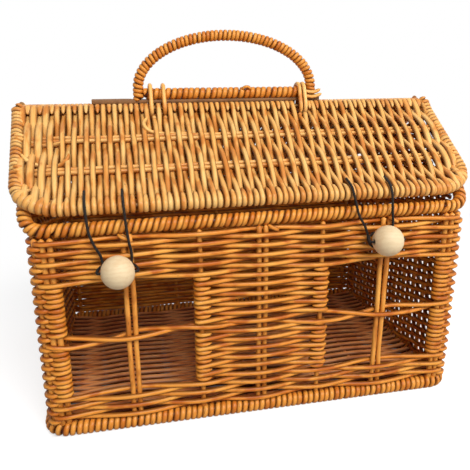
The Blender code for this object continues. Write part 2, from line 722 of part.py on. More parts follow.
def make_closure(word, place_of_bead, loop_route):
    """Make one closure: the loop on the lid, and the bead that hangs on its own tie."""
    x, z = place_of_bead
    step = CORD_STEP_SHARE * 2 * CORD_RADIUS
    tube(word + "_closure_loop", smooth_route(loop_route, step), CORD_RADIUS, CORD_BLACK,
         CORD_ROUGHNESS, sides=STAKE_SIDES)
    axis = bpy.data.objects.new(word + "_bead_axis", None)
    bpy.context.collection.objects.link(axis)
    axis.location = (x, WALL_FACE - TIE_HALF_ROUTE[0][1], z + bead_axis_height())
    bead = make_bead(word, x, z)
    right_half = [(x + out, WALL_FACE - off, z + up) for out, off, up in TIE_HALF_ROUTE]
    left_half = [(x - out, WALL_FACE - off, z + up) for out, off, up in TIE_HALF_ROUTE]
    route = left_half + list(reversed(right_half[:-1]))
    tie = tube(word + "_bead_tie", smooth_route(route, step), CORD_RADIUS, CORD_BLACK,
               CORD_ROUGHNESS, sides=STAKE_SIDES)
    for piece in (bead, tie):
        piece.parent = axis
        piece.matrix_parent_inverse = Matrix.Translation(-axis.location)


def hinge_lid():
    """Parent every lid piece to an empty on the lid's axis."""
    axis = bpy.data.objects.new("lid_axis", None)
    bpy.context.collection.objects.link(axis)
    axis.location = LID_AXIS
    for thing in list(bpy.context.collection.objects):
        if thing.name.startswith("lid_") and thing is not axis or "closure_loop" in thing.name:
            thing.parent = axis
            thing.matrix_parent_inverse = Matrix.Translation(-axis.location)


def main():
    """Build the basket."""
    clear_scene()
    make_base_border()
    make_floor()
    make_long_wall(-1)
    make_long_wall(1)
    make_window_weavers()
    for word, hand in (("left", -1), ("right", 1)):
        make_end_wall(word, hand)
        make_gable_border(word, hand)
    make_rims()
    make_roof_slope("rear_roof", 1)
    make_roof_slope("lid", -1)
    make_handle()
    make_lashings()
    make_closure("left", LEFT_BEAD, LEFT_LOOP_ROUTE)
    make_closure("right", RIGHT_BEAD, RIGHT_LOOP_ROUTE)
    hinge_lid()


main()
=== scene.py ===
"""Looks of a house-shaped wicker basket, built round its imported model.

Metres, +Z up, and the front wall faces -Y. Every visible strand is a ribbon swept along a path
of its own, and the paths follow the weave: round the stakes, over and under the roof's rods and
round and round the borders.
"""
import logging
import math
from dataclasses import dataclass, field, replace
from enum import Enum

import bpy
import numpy as np
from mathutils import Matrix, Vector


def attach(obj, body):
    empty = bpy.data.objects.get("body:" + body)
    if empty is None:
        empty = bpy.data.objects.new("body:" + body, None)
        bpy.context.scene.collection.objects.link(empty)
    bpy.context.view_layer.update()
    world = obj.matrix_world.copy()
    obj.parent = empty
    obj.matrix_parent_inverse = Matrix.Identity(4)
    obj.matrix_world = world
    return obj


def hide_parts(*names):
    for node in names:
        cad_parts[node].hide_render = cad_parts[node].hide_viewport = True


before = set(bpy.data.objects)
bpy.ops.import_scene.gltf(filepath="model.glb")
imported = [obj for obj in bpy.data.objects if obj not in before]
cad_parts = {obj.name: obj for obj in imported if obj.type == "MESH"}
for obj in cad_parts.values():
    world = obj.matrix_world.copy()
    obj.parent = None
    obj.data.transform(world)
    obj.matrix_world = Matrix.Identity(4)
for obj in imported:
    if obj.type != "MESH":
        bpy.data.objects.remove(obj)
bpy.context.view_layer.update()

LOG = logging.getLogger("pie_basket")
Colour = tuple[float, float, float]
Point = tuple[float, float, float]
UP = np.array((0.0, 0.0, 1.0))


class Body(Enum):
    """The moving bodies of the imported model."""

    BASKET = "basket"
    LID = "lid"
    LEFT_BEAD = "left_bead_on_tie"
    RIGHT_BEAD = "right_bead_on_tie"


class Slot(Enum):
    """The record's material slots."""

    WEAVE = "cane_weave"
    BORDER = "cane_border"
    STAKE = "cane_stake"
    SLAT = "slat_wood"
    BEAD = "bead_wood"
    CORD = "cord"


class Hand(Enum):
    """Which way a wrap climbs round its core."""

    RIGHT = 1
    LEFT = -1


# Paths and swept strands

def unit(vectors: np.ndarray) -> np.ndarray:
    """Scale every vector to length one."""
    return vectors / np.maximum(np.linalg.norm(vectors, axis=-1, keepdims=True), 1e-12)


def spline(points: np.ndarray, reads: int = 12) -> np.ndarray:
    """Read a Catmull-Rom curve, the cubic whose slope at a point is half the step between its neighbours.

    Args:
        points: the points to pass through, one a row.
        reads: how many places are read between two points.

    Returns:
        The curve's points, one a row.
    """
    points = np.asarray(points, float)
    padded = np.vstack([2 * points[:1] - points[1:2], points, 2 * points[-1:] - points[-2:-1]])
    before, start, end, after = padded[:-3], padded[1:-2], padded[2:-1], padded[3:]
    t = (np.arange(1, reads + 1) / reads)[None, :, None]
    before, start, end, after = (part[:, None] for part in (before, start, end, after))
    dense = 0.5 * (2 * start + (end - before) * t
                   + (2 * before - 5 * start + 4 * end - after) * t ** 2
                   + (3 * start - before - 3 * end + after) * t ** 3)
    return np.vstack([points[:1], dense.reshape(-1, points.shape[1])])


def lengths(path: np.ndarray) -> np.ndarray:
    """Give the way travelled along a path at each of its points."""
    return np.concatenate([[0.0], np.cumsum(np.linalg.norm(np.diff(path, axis=0), axis=1))])


def read_path(path: np.ndarray, places: np.ndarray) -> np.ndarray:
    """Give the points at some ways travelled along a path."""
    travelled = lengths(path)
    return np.stack([np.interp(places, travelled, axis) for axis in path.T], axis=-1)


def even(path: np.ndarray, step: float) -> np.ndarray:
    """Read a path again at even steps of about a given length."""
    total = lengths(path)[-1]
    return read_path(path, np.linspace(0, total, max(3, round(total / step) + 1)))


def bezier(start: np.ndarray, start_pull: np.ndarray, end_pull: np.ndarray, end: np.ndarray,
           count: int = 24) -> np.ndarray:
    """Read a cubic Bezier curve: each point weighs in by its Bernstein share of t."""
    t = np.linspace(0, 1, count + 1)[:, None]
    return (start * (1 - t) ** 3 + 3 * start_pull * t * (1 - t) ** 2
            + 3 * end_pull * t ** 2 * (1 - t) + end * t ** 3)


def smooth_step(value: np.ndarray, low: float, high: float) -> np.ndarray:
    """Rise from 0 at low to 1 at high along the cubic 3t^2 - 2t^3."""
    t = np.clip((value - low) / (high - low), 0, 1)
    return t * t * (3 - 2 * t)


def end_taper(count: int, points: int = 3, least: float = 0.35) -> np.ndarray:
    """Give widths along a strand that round off over its first and last points."""
    place = np.minimum(np.arange(count), np.arange(count)[::-1]) / points
    return least + (1 - least) * np.sqrt(np.clip(place, 0, 1))


def wobble(count: int, amount: float, waves: float, rng: np.random.Generator) -> np.ndarray:
    """Give a slow hand-made unevenness: three sines of random phase, of falling height."""
    t = np.linspace(0, 2 * math.pi * waves, count)
    phases = rng.uniform(0, 2 * math.pi, 3)
    return amount * (0.6 * np.sin(t + phases[0]) + 0.3 * np.sin(2.3 * t + phases[1])
                     + 0.2 * np.sin(4.1 * t + phases[2]))


@dataclass
class Patch:
    """Some strands' vertices and faces, with the fields that the cane finish reads."""

    points: np.ndarray
    quads: np.ndarray
    triangles: np.ndarray
    grain: np.ndarray
    tone: np.ndarray
    shade: np.ndarray


def sweep(paths: np.ndarray, outs: np.ndarray, width: float | np.ndarray,
          thick: float | np.ndarray, rng: np.random.Generator, sides: int = 8,
          shade: float | np.ndarray = 0.0, edge_shade: float = 0.86) -> Patch:
    """Sweep an oval along paths: P + cos(a) * width * across + sin(a) * thick * up, a round the oval.

    Args:
        paths: the strands' middles, as (strands, points, 3) or (points, 3).
        outs: the way that each strand's broad face looks, of the same shape.
        width: half the oval's width, for all or for each point.
        thick: half its thickness, for all or for each point.
        rng: where the strand's own tone and grain come from.
        sides: how many vertices go round the oval.
        shade: how much painted shade darkens the strand, from 0 to 1.
        edge_shade: how much painted shade its narrow edges, where strands meet, take as well.

    Returns:
        The closed strands, with their faces pointing out.
    """
    paths = paths.reshape(-1, *paths.shape[-2:])
    outs = np.broadcast_to(outs, paths.shape)
    strands, count = paths.shape[:2]
    run = unit(np.gradient(paths, axis=1))
    across = unit(np.cross(run, outs))
    up = np.cross(across, run)
    width = np.broadcast_to(width, (strands, count))
    thick = np.broadcast_to(thick, (strands, count))
    shade = np.broadcast_to(shade, (strands, count))
    turn = 2 * math.pi * (np.arange(sides) + 0.5) / sides
    wide = np.cos(turn) * width[..., None]
    high = np.sin(turn) * thick[..., None]
    ring = (paths[:, :, None] + wide[..., None] * across[:, :, None]
            + high[..., None] * up[:, :, None])
    cap = 0.7 * thick[..., None]
    first = (paths - run * cap)[:, :1]
    last = (paths + run * cap)[:, -1:]
    points = np.concatenate([ring.reshape(strands, -1, 3), first, last], axis=1)
    size = count * sides + 2

    steps = np.linalg.norm(np.diff(paths, axis=1), axis=-1)
    travelled = np.concatenate([np.zeros((strands, 1)), np.cumsum(steps, axis=1)], axis=1)
    grain = np.stack([wide, high, np.broadcast_to(travelled[..., None], wide.shape)], axis=-1)
    ends = np.zeros((strands, 2, 3))
    ends[:, 1, 2] = travelled[:, -1]
    grain = np.concatenate([grain.reshape(strands, -1, 3), ends], axis=1)
    grain = grain + rng.uniform(0, 1, (strands, 1, 3))
    tone = np.repeat(rng.uniform(0, 1, strands), size)
    # Painted shade: each strand's narrow edges, where it meets its neighbours, take more shade colour.
    deep = shade[..., None] + (1 - shade[..., None]) * edge_shade * np.abs(np.cos(turn)) ** 2.2
    deep = np.concatenate([deep.reshape(strands, -1), shade[:, :1], shade[:, -1:]], axis=1)

    i, j = np.meshgrid(np.arange(count - 1), np.arange(sides), indexing="ij")
    after = (j + 1) % sides
    quads = np.stack([i * sides + j, (i + 1) * sides + j, (i + 1) * sides + after,
                      i * sides + after], axis=-1).reshape(-1, 4)
    j = np.arange(sides)
    after = (j + 1) % sides
    foot = (count - 1) * sides
    start_fan = np.stack([np.full(sides, size - 2), j, after], axis=-1)
    end_fan = np.stack([np.full(sides, size - 1), foot + after, foot + j], axis=-1)
    fans = np.concatenate([start_fan, end_fan])
    base = size * np.arange(strands)[:, None, None]
    return Patch(points.reshape(-1, 3), (quads + base).reshape(-1, 4),
                 (fans + base).reshape(-1, 3), grain.reshape(-1, 3), tone, deep.reshape(-1))


class Bundle:
    """Strands gathered into one piece."""

    def __init__(self, seed: int) -> None:
        """Start an empty piece whose unevenness comes from a seed."""
        self.rng = np.random.default_rng(seed)
        self.patches: list[Patch] = []

    def add(self, paths: np.ndarray, outs: np.ndarray, width: float | np.ndarray,
            thick: float | np.ndarray, **choices: float | np.ndarray) -> None:
        """Add swept strands."""
        self.patches.append(sweep(paths, outs, width, thick, self.rng, **choices))

    def mesh(self, name: str, floor: float | None = None) -> bpy.types.Mesh:
        """Join the strands into one mesh.

        Args:
            name: the mesh's name.
            floor: a height below which nothing reaches, if there is one.

        Returns:
            The mesh, shaded smooth, with the fields grain, tone and shade on its points.
        """
        starts = np.cumsum([0] + [len(patch.points) for patch in self.patches])
        points = np.concatenate([patch.points for patch in self.patches])
        if floor is not None:
            points[:, 2] = np.maximum(points[:, 2], floor)
        quads = np.concatenate([p.quads + s for p, s in zip(self.patches, starts)])
        fans = np.concatenate([p.triangles + s for p, s in zip(self.patches, starts)])
        mesh = bpy.data.meshes.new(name)
        mesh.from_pydata(points.tolist(), [], quads.tolist() + fans.tolist())
        mesh.polygons.foreach_set("use_smooth", np.ones(len(mesh.polygons), bool))
        fields = (("grain", "FLOAT_VECTOR", "vector"), ("tone", "FLOAT", "value"),
                  ("shade", "FLOAT", "value"))
        for word, kind, key in fields:
            values = np.concatenate([getattr(patch, word) for patch in self.patches])
            mesh.attributes.new(word, kind, "POINT").data.foreach_set(key, values.ravel())
        return mesh

    def piece(self, name: str, body: Body, slot: Slot, nodes: list[str],
              material: bpy.types.Material, floor: float | None = None) -> bpy.types.Object:
        """Make the strands a piece of the basket that stands for some nodes of the model."""
        return place(name, self.mesh(name, floor), body, slot, nodes, material)


def place(name: str, data: bpy.types.ID, body: Body, slot: Slot, nodes: list[str],
          material: bpy.types.Material) -> bpy.types.Object:
    """Link finished data as a piece that rides on a body.

    Args:
        name: the piece's name.
        data: its mesh or curve.
        body: what it moves with.
        slot: the record's slot that its finish belongs to; not used.
        nodes: the nodes of the model that it stands for.
        material: its finish.

    Returns:
        The piece.
    """
    thing = bpy.data.objects.new(name, data)
    bpy.context.collection.objects.link(thing)
    data.materials.append(material)
    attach(thing, body.value)
    if nodes:
        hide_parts(*nodes)
    faces = len(data.polygons) if isinstance(data, bpy.types.Mesh) else 0
    LOG.info("%s: %d faces on %s", name, faces, body.value)
    return thing


def coil(path: np.ndarray, radius: float, pitch: float, reference: Point, hand: Hand,
         rng: np.random.Generator, reads: int = 18, loose: float = 0.012, phase: float = 0.0
         ) -> tuple[np.ndarray, np.ndarray, int]:
    """Wind a strand round a path: C(s) + r (cos(a) A + sin(a) B), where a grows evenly with s.

    Args:
        path: the core's middle.
        radius: how far the strand's middle is from it.
        pitch: about how far one turn climbs.
        reference: where the first turn starts, seen from the core.
        hand: which way it turns.
        rng: where its unevenness comes from.
        reads: points in each turn.
        loose: how far the radius strays, as a share of it.
        phase: how far round from the reference the first turn starts, as a share of a turn.

    Returns:
        The strand's middle, the way it faces and its number of turns.
    """
    core = even(path, pitch / 2)
    travelled = lengths(core)
    turns = max(1, round(travelled[-1] / pitch))
    count = turns * reads + 1
    t = np.linspace(0, 1, count)
    drift = wobble(count, 0.10 / turns, turns / 6, rng)
    middle = read_path(core, np.clip(t + drift, 0, 1) * travelled[-1])
    middle = np.where((t[:, None] < 1e-9) | (t[:, None] > 1 - 1e-9),
                      read_path(core, t * travelled[-1]), middle)
    run_core = unit(np.gradient(core, axis=0))
    run = unit(np.stack([np.interp(t * travelled[-1], travelled, axis) for axis in run_core.T], -1))
    start = unit(np.asarray(reference) - (run @ np.asarray(reference))[:, None] * run)
    side = np.cross(run, start) * hand.value
    angle = 2 * math.pi * (turns * t + phase)
    out = np.cos(angle)[:, None] * start + np.sin(angle)[:, None] * side
    reach = radius * (1 + wobble(count, loose, turns / 2.7, rng))
    return middle + out * reach[:, None], out, turns


# Finishes

class Tree:
    """A node tree with short calls for the nodes that the finishes use."""

    def __init__(self, tree: bpy.types.NodeTree) -> None:
        """Keep the tree."""
        self.tree = tree

    def node(self, kind: str, **settings: object) -> bpy.types.Node:
        """Add a node and set its own properties."""
        made = self.tree.nodes.new(kind)
        for key, value in settings.items():
            setattr(made, key, value)
        return made

    def join(self, source: object, target: bpy.types.NodeSocket) -> None:
        """Link a socket into another, or write a plain value there."""
        if isinstance(source, bpy.types.NodeSocket):
            self.tree.links.new(source, target)
        else:
            target.default_value = source

    def sum(self, operation: str, first: object, second: object = 0.0,
            clamp: bool = False) -> bpy.types.NodeSocket:
        """Add a Math node."""
        made = self.node("ShaderNodeMath", operation=operation, use_clamp=clamp)
        self.join(first, made.inputs[0])
        self.join(second, made.inputs[1])
        return made.outputs[0]

    def blend(self, share: object, first: object, second: object) -> bpy.types.NodeSocket:
        """Mix two colours by a share."""
        made = self.node("ShaderNodeMix", data_type="RGBA")
        self.join(share, made.inputs[0])
        self.join(first, made.inputs[6])
        self.join(second, made.inputs[7])
        return made.outputs[2]

    def span(self, value: object, low: float, high: float, least: float = 0.0,
             most: float = 1.0) -> bpy.types.NodeSocket:
        """Stretch a value's span to another, and hold it inside."""
        made = self.node("ShaderNodeMapRange", interpolation_type="SMOOTHSTEP")
        for target, source in zip(made.inputs, (value, low, high, least, most)):
            self.join(source, target)
        return made.outputs[0]

    def stretched(self, vector: object, scale: Point) -> bpy.types.NodeSocket:
        """Scale a vector along its own axes."""
        made = self.node("ShaderNodeVectorMath", operation="MULTIPLY")
        self.join(vector, made.inputs[0])
        made.inputs[1].default_value = scale
        return made.outputs[0]

    def noise(self, vector: object, detail: float = 2.0, rough: float = 0.5,
              twist: float = 0.0) -> bpy.types.NodeSocket:
        """Add a noise of scale 1 and give its value."""
        made = self.node("ShaderNodeTexNoise")
        self.join(vector, made.inputs["Vector"])
        made.inputs["Scale"].default_value = 1.0
        made.inputs["Detail"].default_value = detail
        made.inputs["Roughness"].default_value = rough
        made.inputs["Distortion"].default_value = twist
        return made.outputs["Fac"]


def new_group(name: str, inputs: dict[str, str], outputs: dict[str, str]
              ) -> tuple[bpy.types.NodeTree, Tree, bpy.types.Node, bpy.types.Node]:
    """Start a shader group with named sockets.

    Args:
        name: the group's name.
        inputs: each input's name and socket type.
        outputs: each output's name and socket type.

    Returns:
        The group, its tree, and its input and output nodes.
    """
    group = bpy.data.node_groups.new(name, "ShaderNodeTree")
    for way, sockets in (("INPUT", inputs), ("OUTPUT", outputs)):
        for word, kind in sockets.items():
            group.interface.new_socket(name=word, in_out=way, socket_type=kind)
    tree = Tree(group)
    return group, tree, tree.node("NodeGroupInput"), tree.node("NodeGroupOutput")


COLOUR_SOCKET = "NodeSocketColor"
VALUE_SOCKET = "NodeSocketFloat"
VECTOR_SOCKET = "NodeSocketVector"
SURFACE = {"Color": COLOUR_SOCKET, "Roughness": VALUE_SOCKET, "Height": VALUE_SOCKET}


def fibre_group() -> bpy.types.NodeTree:
    """Build the cane's skin: long fibres, slow bands, small scars, and painted shade where strands meet.

    Fibres are a noise drawn out along the strand, bands a wider one, and scars the peaks of a
    third. The strand's own tone leans it to the light or the deep colour. The shade field paints
    shade onto strand edges and cores, in the same colour as the scars.
    """
    group, tree, given, out = new_group(
        "cane_fibres",
        {"Grain": VECTOR_SOCKET, "Tone": VALUE_SOCKET, "Shade": VALUE_SOCKET,
         "Light": COLOUR_SOCKET, "Middle": COLOUR_SOCKET, "Deep": COLOUR_SOCKET,
         "Scar and painted shade": COLOUR_SOCKET, "Least roughness": VALUE_SOCKET},
        SURFACE)
    grain = given.outputs["Grain"]
    fibres = tree.noise(tree.stretched(grain, (1500.0, 1500.0, 60.0)), 3.0, 0.6)
    bands = tree.noise(tree.stretched(grain, (90.0, 90.0, 42.0)), 2.0, 0.55, 0.4)
    scars = tree.noise(tree.stretched(grain, (620.0, 620.0, 190.0)), 1.0, 0.4, 0.2)
    light = tree.span(tree.sum("ADD", tree.sum("MULTIPLY", fibres, 0.45),
                               tree.sum("MULTIPLY", bands, 0.55)), 0.36, 0.66)
    tone = tree.sum("MULTIPLY", given.outputs["Tone"], 0.60)
    light = tree.sum("MULTIPLY", light, tree.sum("ADD", tone, 0.55), clamp=True)
    colour = tree.blend(light, given.outputs["Middle"], given.outputs["Light"])
    dull = tree.span(bands, 0.52, 0.36, 0.0, 0.65)
    colour = tree.blend(dull, colour, given.outputs["Deep"])
    scar = tree.span(scars, 0.70, 0.80, 0.0, 0.40)
    colour = tree.blend(scar, colour, given.outputs["Scar and painted shade"])
    colour = tree.blend(tree.span(fibres, 0.42, 0.28, 0.0, 0.22), colour, given.outputs["Deep"])
    # Painted shade: the shade field draws the colour towards the scar-and-shade colour at strand edges
    # and in cores.
    colour = tree.blend(given.outputs["Shade"], colour, given.outputs["Scar and painted shade"])
    rough = tree.sum("ADD", tree.sum("MULTIPLY", fibres, 0.22), given.outputs["Least roughness"])
    height = tree.sum("SUBTRACT", tree.sum("ADD", fibres, tree.sum("MULTIPLY", bands, 0.8)),
                      tree.sum("MULTIPLY", scar, 0.6))
    for word, source in (("Color", colour), ("Roughness", rough), ("Height", height)):
        tree.join(source, out.inputs[word])
    return group


def wood_group() -> bpy.types.NodeTree:
    """Build plain wood: growth rings as a sine of a bent distance, pores as fine drawn-out noise."""
    group, tree, given, out = new_group(
        "plain_wood",
        {"Vector": VECTOR_SOCKET, "Light": COLOUR_SOCKET, "Dark": COLOUR_SOCKET,
         "Least roughness": VALUE_SOCKET},
        SURFACE)
    place_on = given.outputs["Vector"]
    bend = tree.noise(tree.stretched(place_on, (40.0, 90.0, 90.0)), 2.0)
    parts = tree.node("ShaderNodeSeparateXYZ")
    tree.join(place_on, parts.inputs[0])
    across = tree.sum("ADD", tree.sum("MULTIPLY", parts.outputs["Z"], 1900.0),
                      tree.sum("MULTIPLY", parts.outputs["Y"], 700.0))
    rings = tree.sum("SINE", tree.sum("ADD", across, tree.sum("MULTIPLY", bend, 16.0)))
    rings = tree.span(rings, -0.6, 1.0)
    pores = tree.noise(tree.stretched(place_on, (260.0, 2600.0, 2600.0)), 3.0, 0.65)
    smudge = tree.noise(tree.stretched(place_on, (110.0, 140.0, 140.0)), 3.0)
    dark = tree.sum("ADD", tree.sum("MULTIPLY", rings, 0.20),
                    tree.span(pores, 0.50, 0.72, 0.0, 0.38))
    dark = tree.sum("ADD", dark, tree.span(smudge, 0.48, 0.72, 0.0, 0.42), clamp=True)
    colour = tree.blend(dark, given.outputs["Light"], given.outputs["Dark"])
    rough = tree.sum("ADD", tree.sum("MULTIPLY", pores, 0.25), given.outputs["Least roughness"])
    height = tree.sum("SUBTRACT", tree.sum("MULTIPLY", rings, -0.15), pores)
    for word, source in (("Color", colour), ("Roughness", rough), ("Height", height)):
        tree.join(source, out.inputs[word])
    return group


def dress_shader(tree: Tree, surface: bpy.types.Node, bump: float, depth: float, coat: float
                 ) -> bpy.types.Node:
    """Feed a Principled shader from a finish group.

    Args:
        tree: the material's tree.
        surface: the group's node.
        bump: the bump's strength.
        depth: the bump's depth in metres.
        coat: the weight of the varnish.

    Returns:
        The shader.
    """
    shader = tree.tree.nodes["Principled BSDF"]
    tree.join(surface.outputs["Color"], shader.inputs["Base Color"])
    tree.join(surface.outputs["Roughness"], shader.inputs["Roughness"])
    relief = tree.node("ShaderNodeBump")
    relief.inputs["Strength"].default_value = bump
    relief.inputs["Distance"].default_value = depth
    tree.join(surface.outputs["Height"], relief.inputs["Height"])
    tree.join(relief.outputs["Normal"], shader.inputs["Normal"])
    shader.inputs["Specular IOR Level"].default_value = 0.28
    shader.inputs["Coat Weight"].default_value = coat
    shader.inputs["Coat Roughness"].default_value = 0.35
    return shader


def new_material(name: str) -> tuple[bpy.types.Material, Tree]:
    """Start a node material."""
    material = bpy.data.materials.new(name)
    material.use_nodes = True
    return material, Tree(material.node_tree)


def add_group(tree: Tree, group: bpy.types.NodeTree, values: dict[str, object]) -> bpy.types.Node:
    """Place a shared group in a material with its own values."""
    made = tree.node("ShaderNodeGroup")
    made.node_tree = group
    for word, value in values.items():
        if isinstance(value, tuple):
            value = (*value, 1.0)
        tree.join(value, made.inputs[word])
    return made


@dataclass(frozen=True)
class StrandFinish:
    """A finish for swept strands, read from their own grain, tone and shade."""

    name: str
    light: Colour
    middle: Colour
    deep: Colour
    # colour of small scars, and of the painted shade at strand edges and cores
    scar_and_painted_shade: Colour
    roughness: float = 0.26
    coat: float = 0.0
    bump: float = 0.28
    depth: float = 0.00025

    def material(self, group: bpy.types.NodeTree) -> bpy.types.Material:
        """Make the material from the shared fibre group."""
        material, tree = new_material(self.name)
        grain, tone, shade = (tree.node("ShaderNodeAttribute", attribute_name=word)
                              for word in ("grain", "tone", "shade"))
        surface = add_group(tree, group, {
            "Grain": grain.outputs["Vector"], "Tone": tone.outputs["Fac"],
            "Shade": shade.outputs["Fac"], "Light": self.light, "Middle": self.middle,
            "Deep": self.deep, "Scar and painted shade": self.scar_and_painted_shade, "Least roughness": self.roughness})
        dress_shader(tree, surface, self.bump, self.depth, self.coat)
        return material


@dataclass(frozen=True)
class WoodFinish:
    """A finish for turned or sawn wood, read from the place on the object."""

    name: str
    light: Colour
    dark: Colour
    roughness: float = 0.42
    coat: float = 0.05
    bump: float = 0.25
    depth: float = 0.00015

    def material(self, group: bpy.types.NodeTree) -> bpy.types.Material:
        """Make the material from the shared wood group."""
        material, tree = new_material(self.name)
        where = tree.node("ShaderNodeTexCoord")
        surface = add_group(tree, group, {
            "Vector": where.outputs["Object"], "Light": self.light, "Dark": self.dark,
            "Least roughness": self.roughness})
        dress_shader(tree, surface, self.bump, self.depth, self.coat)
        return material


# The last colour of each strand finish serves its scars and the painted shade at strand edges and cores.
WALL_CANE = StrandFinish("wall_cane", (1.0, 0.45, 0.072), (0.83, 0.252, 0.020),
                         (0.47, 0.088, 0.003), (0.060, 0.004, 0.0002))
ROOF_CANE = StrandFinish("roof_cane", (1.0, 0.62, 0.21), (0.94, 0.41, 0.080),
                         (0.58, 0.16, 0.014), (0.070, 0.006, 0.0004))
BORDER_CANE = StrandFinish("border_cane", (0.96, 0.45, 0.083), (0.84, 0.28, 0.029),
                           (0.54, 0.13, 0.008), (0.070, 0.006, 0.0003))
STAKE_CANE = StrandFinish("stake_cane", (0.95, 0.44, 0.085), (0.76, 0.27, 0.035),
                          (0.46, 0.13, 0.014), (0.09, 0.010, 0.001), roughness=0.30)
FLOOR_CANE = StrandFinish("floor_cane", (1.0, 0.46, 0.17), (1.0, 0.35, 0.10),
                          (0.70, 0.20, 0.045), (0.070, 0.007, 0.0006), roughness=0.32)
CORD_THREAD = StrandFinish("cord_thread", (0.030, 0.019, 0.014), (0.013, 0.009, 0.007),
                           (0.006, 0.0045, 0.004), (0.002, 0.0015, 0.001), roughness=0.60,
                           bump=0.6, depth=0.00012)
BEAD_WOOD = WoodFinish("bead_wood", (0.80, 0.62, 0.38), (0.68, 0.46, 0.24), bump=0.12)
SLAT_WOOD = WoodFinish("slat_wood", (0.27, 0.125, 0.045), (0.10, 0.040, 0.014), roughness=0.5)


@dataclass(frozen=True)
class Finishes:
    """Every finish of the basket, made once."""

    wall: bpy.types.Material
    roof: bpy.types.Material
    border: bpy.types.Material
    stake: bpy.types.Material
    floor: bpy.types.Material
    cord: bpy.types.Material
    bead: bpy.types.Material
    slat: bpy.types.Material

    @classmethod
    def make(cls) -> "Finishes":
        """Build both shared groups and place them in every material."""
        fibres = fibre_group()
        wood = wood_group()
        strands = (WALL_CANE, ROOF_CANE, BORDER_CANE, STAKE_CANE, FLOOR_CANE, CORD_THREAD)
        return cls(*(finish.material(fibres) for finish in strands),
                   *(finish.material(wood) for finish in (BEAD_WOOD, SLAT_WOOD)))


# Body: walls woven in rows round a ring of stakes

@dataclass
class Ring:
    """The walls' middle line from above: a rounded oblong, with the stakes that stand on it."""

    half_length: float = 0.1755
    half_depth: float = 0.1070
    corner: float = 0.0055
    long_stakes: tuple[float, ...] = (-0.165, -0.107, -0.051, 0.0, 0.051, 0.107, 0.165)
    end_stakes: int = 12
    end_stake_reach: float = 0.0979
    line: np.ndarray = field(init=False)
    outward: np.ndarray = field(init=False)
    stakes: np.ndarray = field(init=False)

    def __post_init__(self) -> None:
        """Trace the line from the middle of the left front corner, and place the stakes on it."""
        quarter = np.linspace(0, math.pi / 2, 13)
        straight = self.half_length - self.corner, self.half_depth - self.corner
        points, outs = [], []
        for turn, (sx, sy) in enumerate(((-1, -1), (1, -1), (1, 1), (-1, 1))):
            angle = quarter + math.pi * (1 + turn / 2)
            out = np.stack([np.cos(angle), np.sin(angle)], -1)
            points.append(np.array((sx * straight[0], sy * straight[1])) + self.corner * out)
            outs.append(out)
        line, out = np.concatenate(points), np.concatenate(outs)
        half = len(quarter) // 2
        line = np.concatenate([line[half:], line[:half + 1]])
        self.outward = np.concatenate([out[half:], out[:half + 1]])
        self.line = line
        arc = self.corner * math.pi / 4
        long_side, short_side = 2 * straight[0], 2 * straight[1]
        front = arc + straight[0] + np.array(self.long_stakes)
        ends = np.linspace(-self.end_stake_reach, self.end_stake_reach, self.end_stakes)
        second = 2 * arc + long_side
        third = second + 2 * arc + short_side
        fourth = third + 2 * arc + long_side
        self.stakes = np.concatenate([
            [0.0], front, [second], second + arc + straight[1] + ends,
            [third], third + front, [fourth], fourth + arc + straight[1] + ends])

    def places(self) -> np.ndarray:
        """Give the way round the ring at each point of its line."""
        return lengths(self.line)

    def stake(self, index: int) -> float:
        """Give the way round to a stake, counted on past the last one."""
        rounds, rest = divmod(index, len(self.stakes))
        return float(self.stakes[rest] + rounds * self.places()[-1])

    def read(self, way: np.ndarray, off: np.ndarray, height: np.ndarray
             ) -> tuple[np.ndarray, np.ndarray]:
        """Turn ways round, offsets outward and heights into points.

        Args:
            way: ways round the ring.
            off: how far outside the middle line.
            height: heights above the ground.

        Returns:
            The points, and the outward directions there.
        """
        places = self.places()
        turned = np.mod(way, places[-1])
        middle = np.stack([np.interp(turned, places, axis) for axis in self.line.T], -1)
        out = unit(np.stack([np.interp(turned, places, axis) for axis in self.outward.T], -1))
        points = np.column_stack([middle + out * off[:, None], height])
        return points, np.column_stack([out, np.zeros(len(out))])


class Side(Enum):
    """A wall, with the stakes where its two kinds of row start and end, behind a stake."""

    FRONT = ((1, 7), (0, 8))
    RIGHT = ((7, 21), (8, 22))
    BACK = ((21, 29), (22, 28))
    LEFT = ((29, 43), (28, 42))


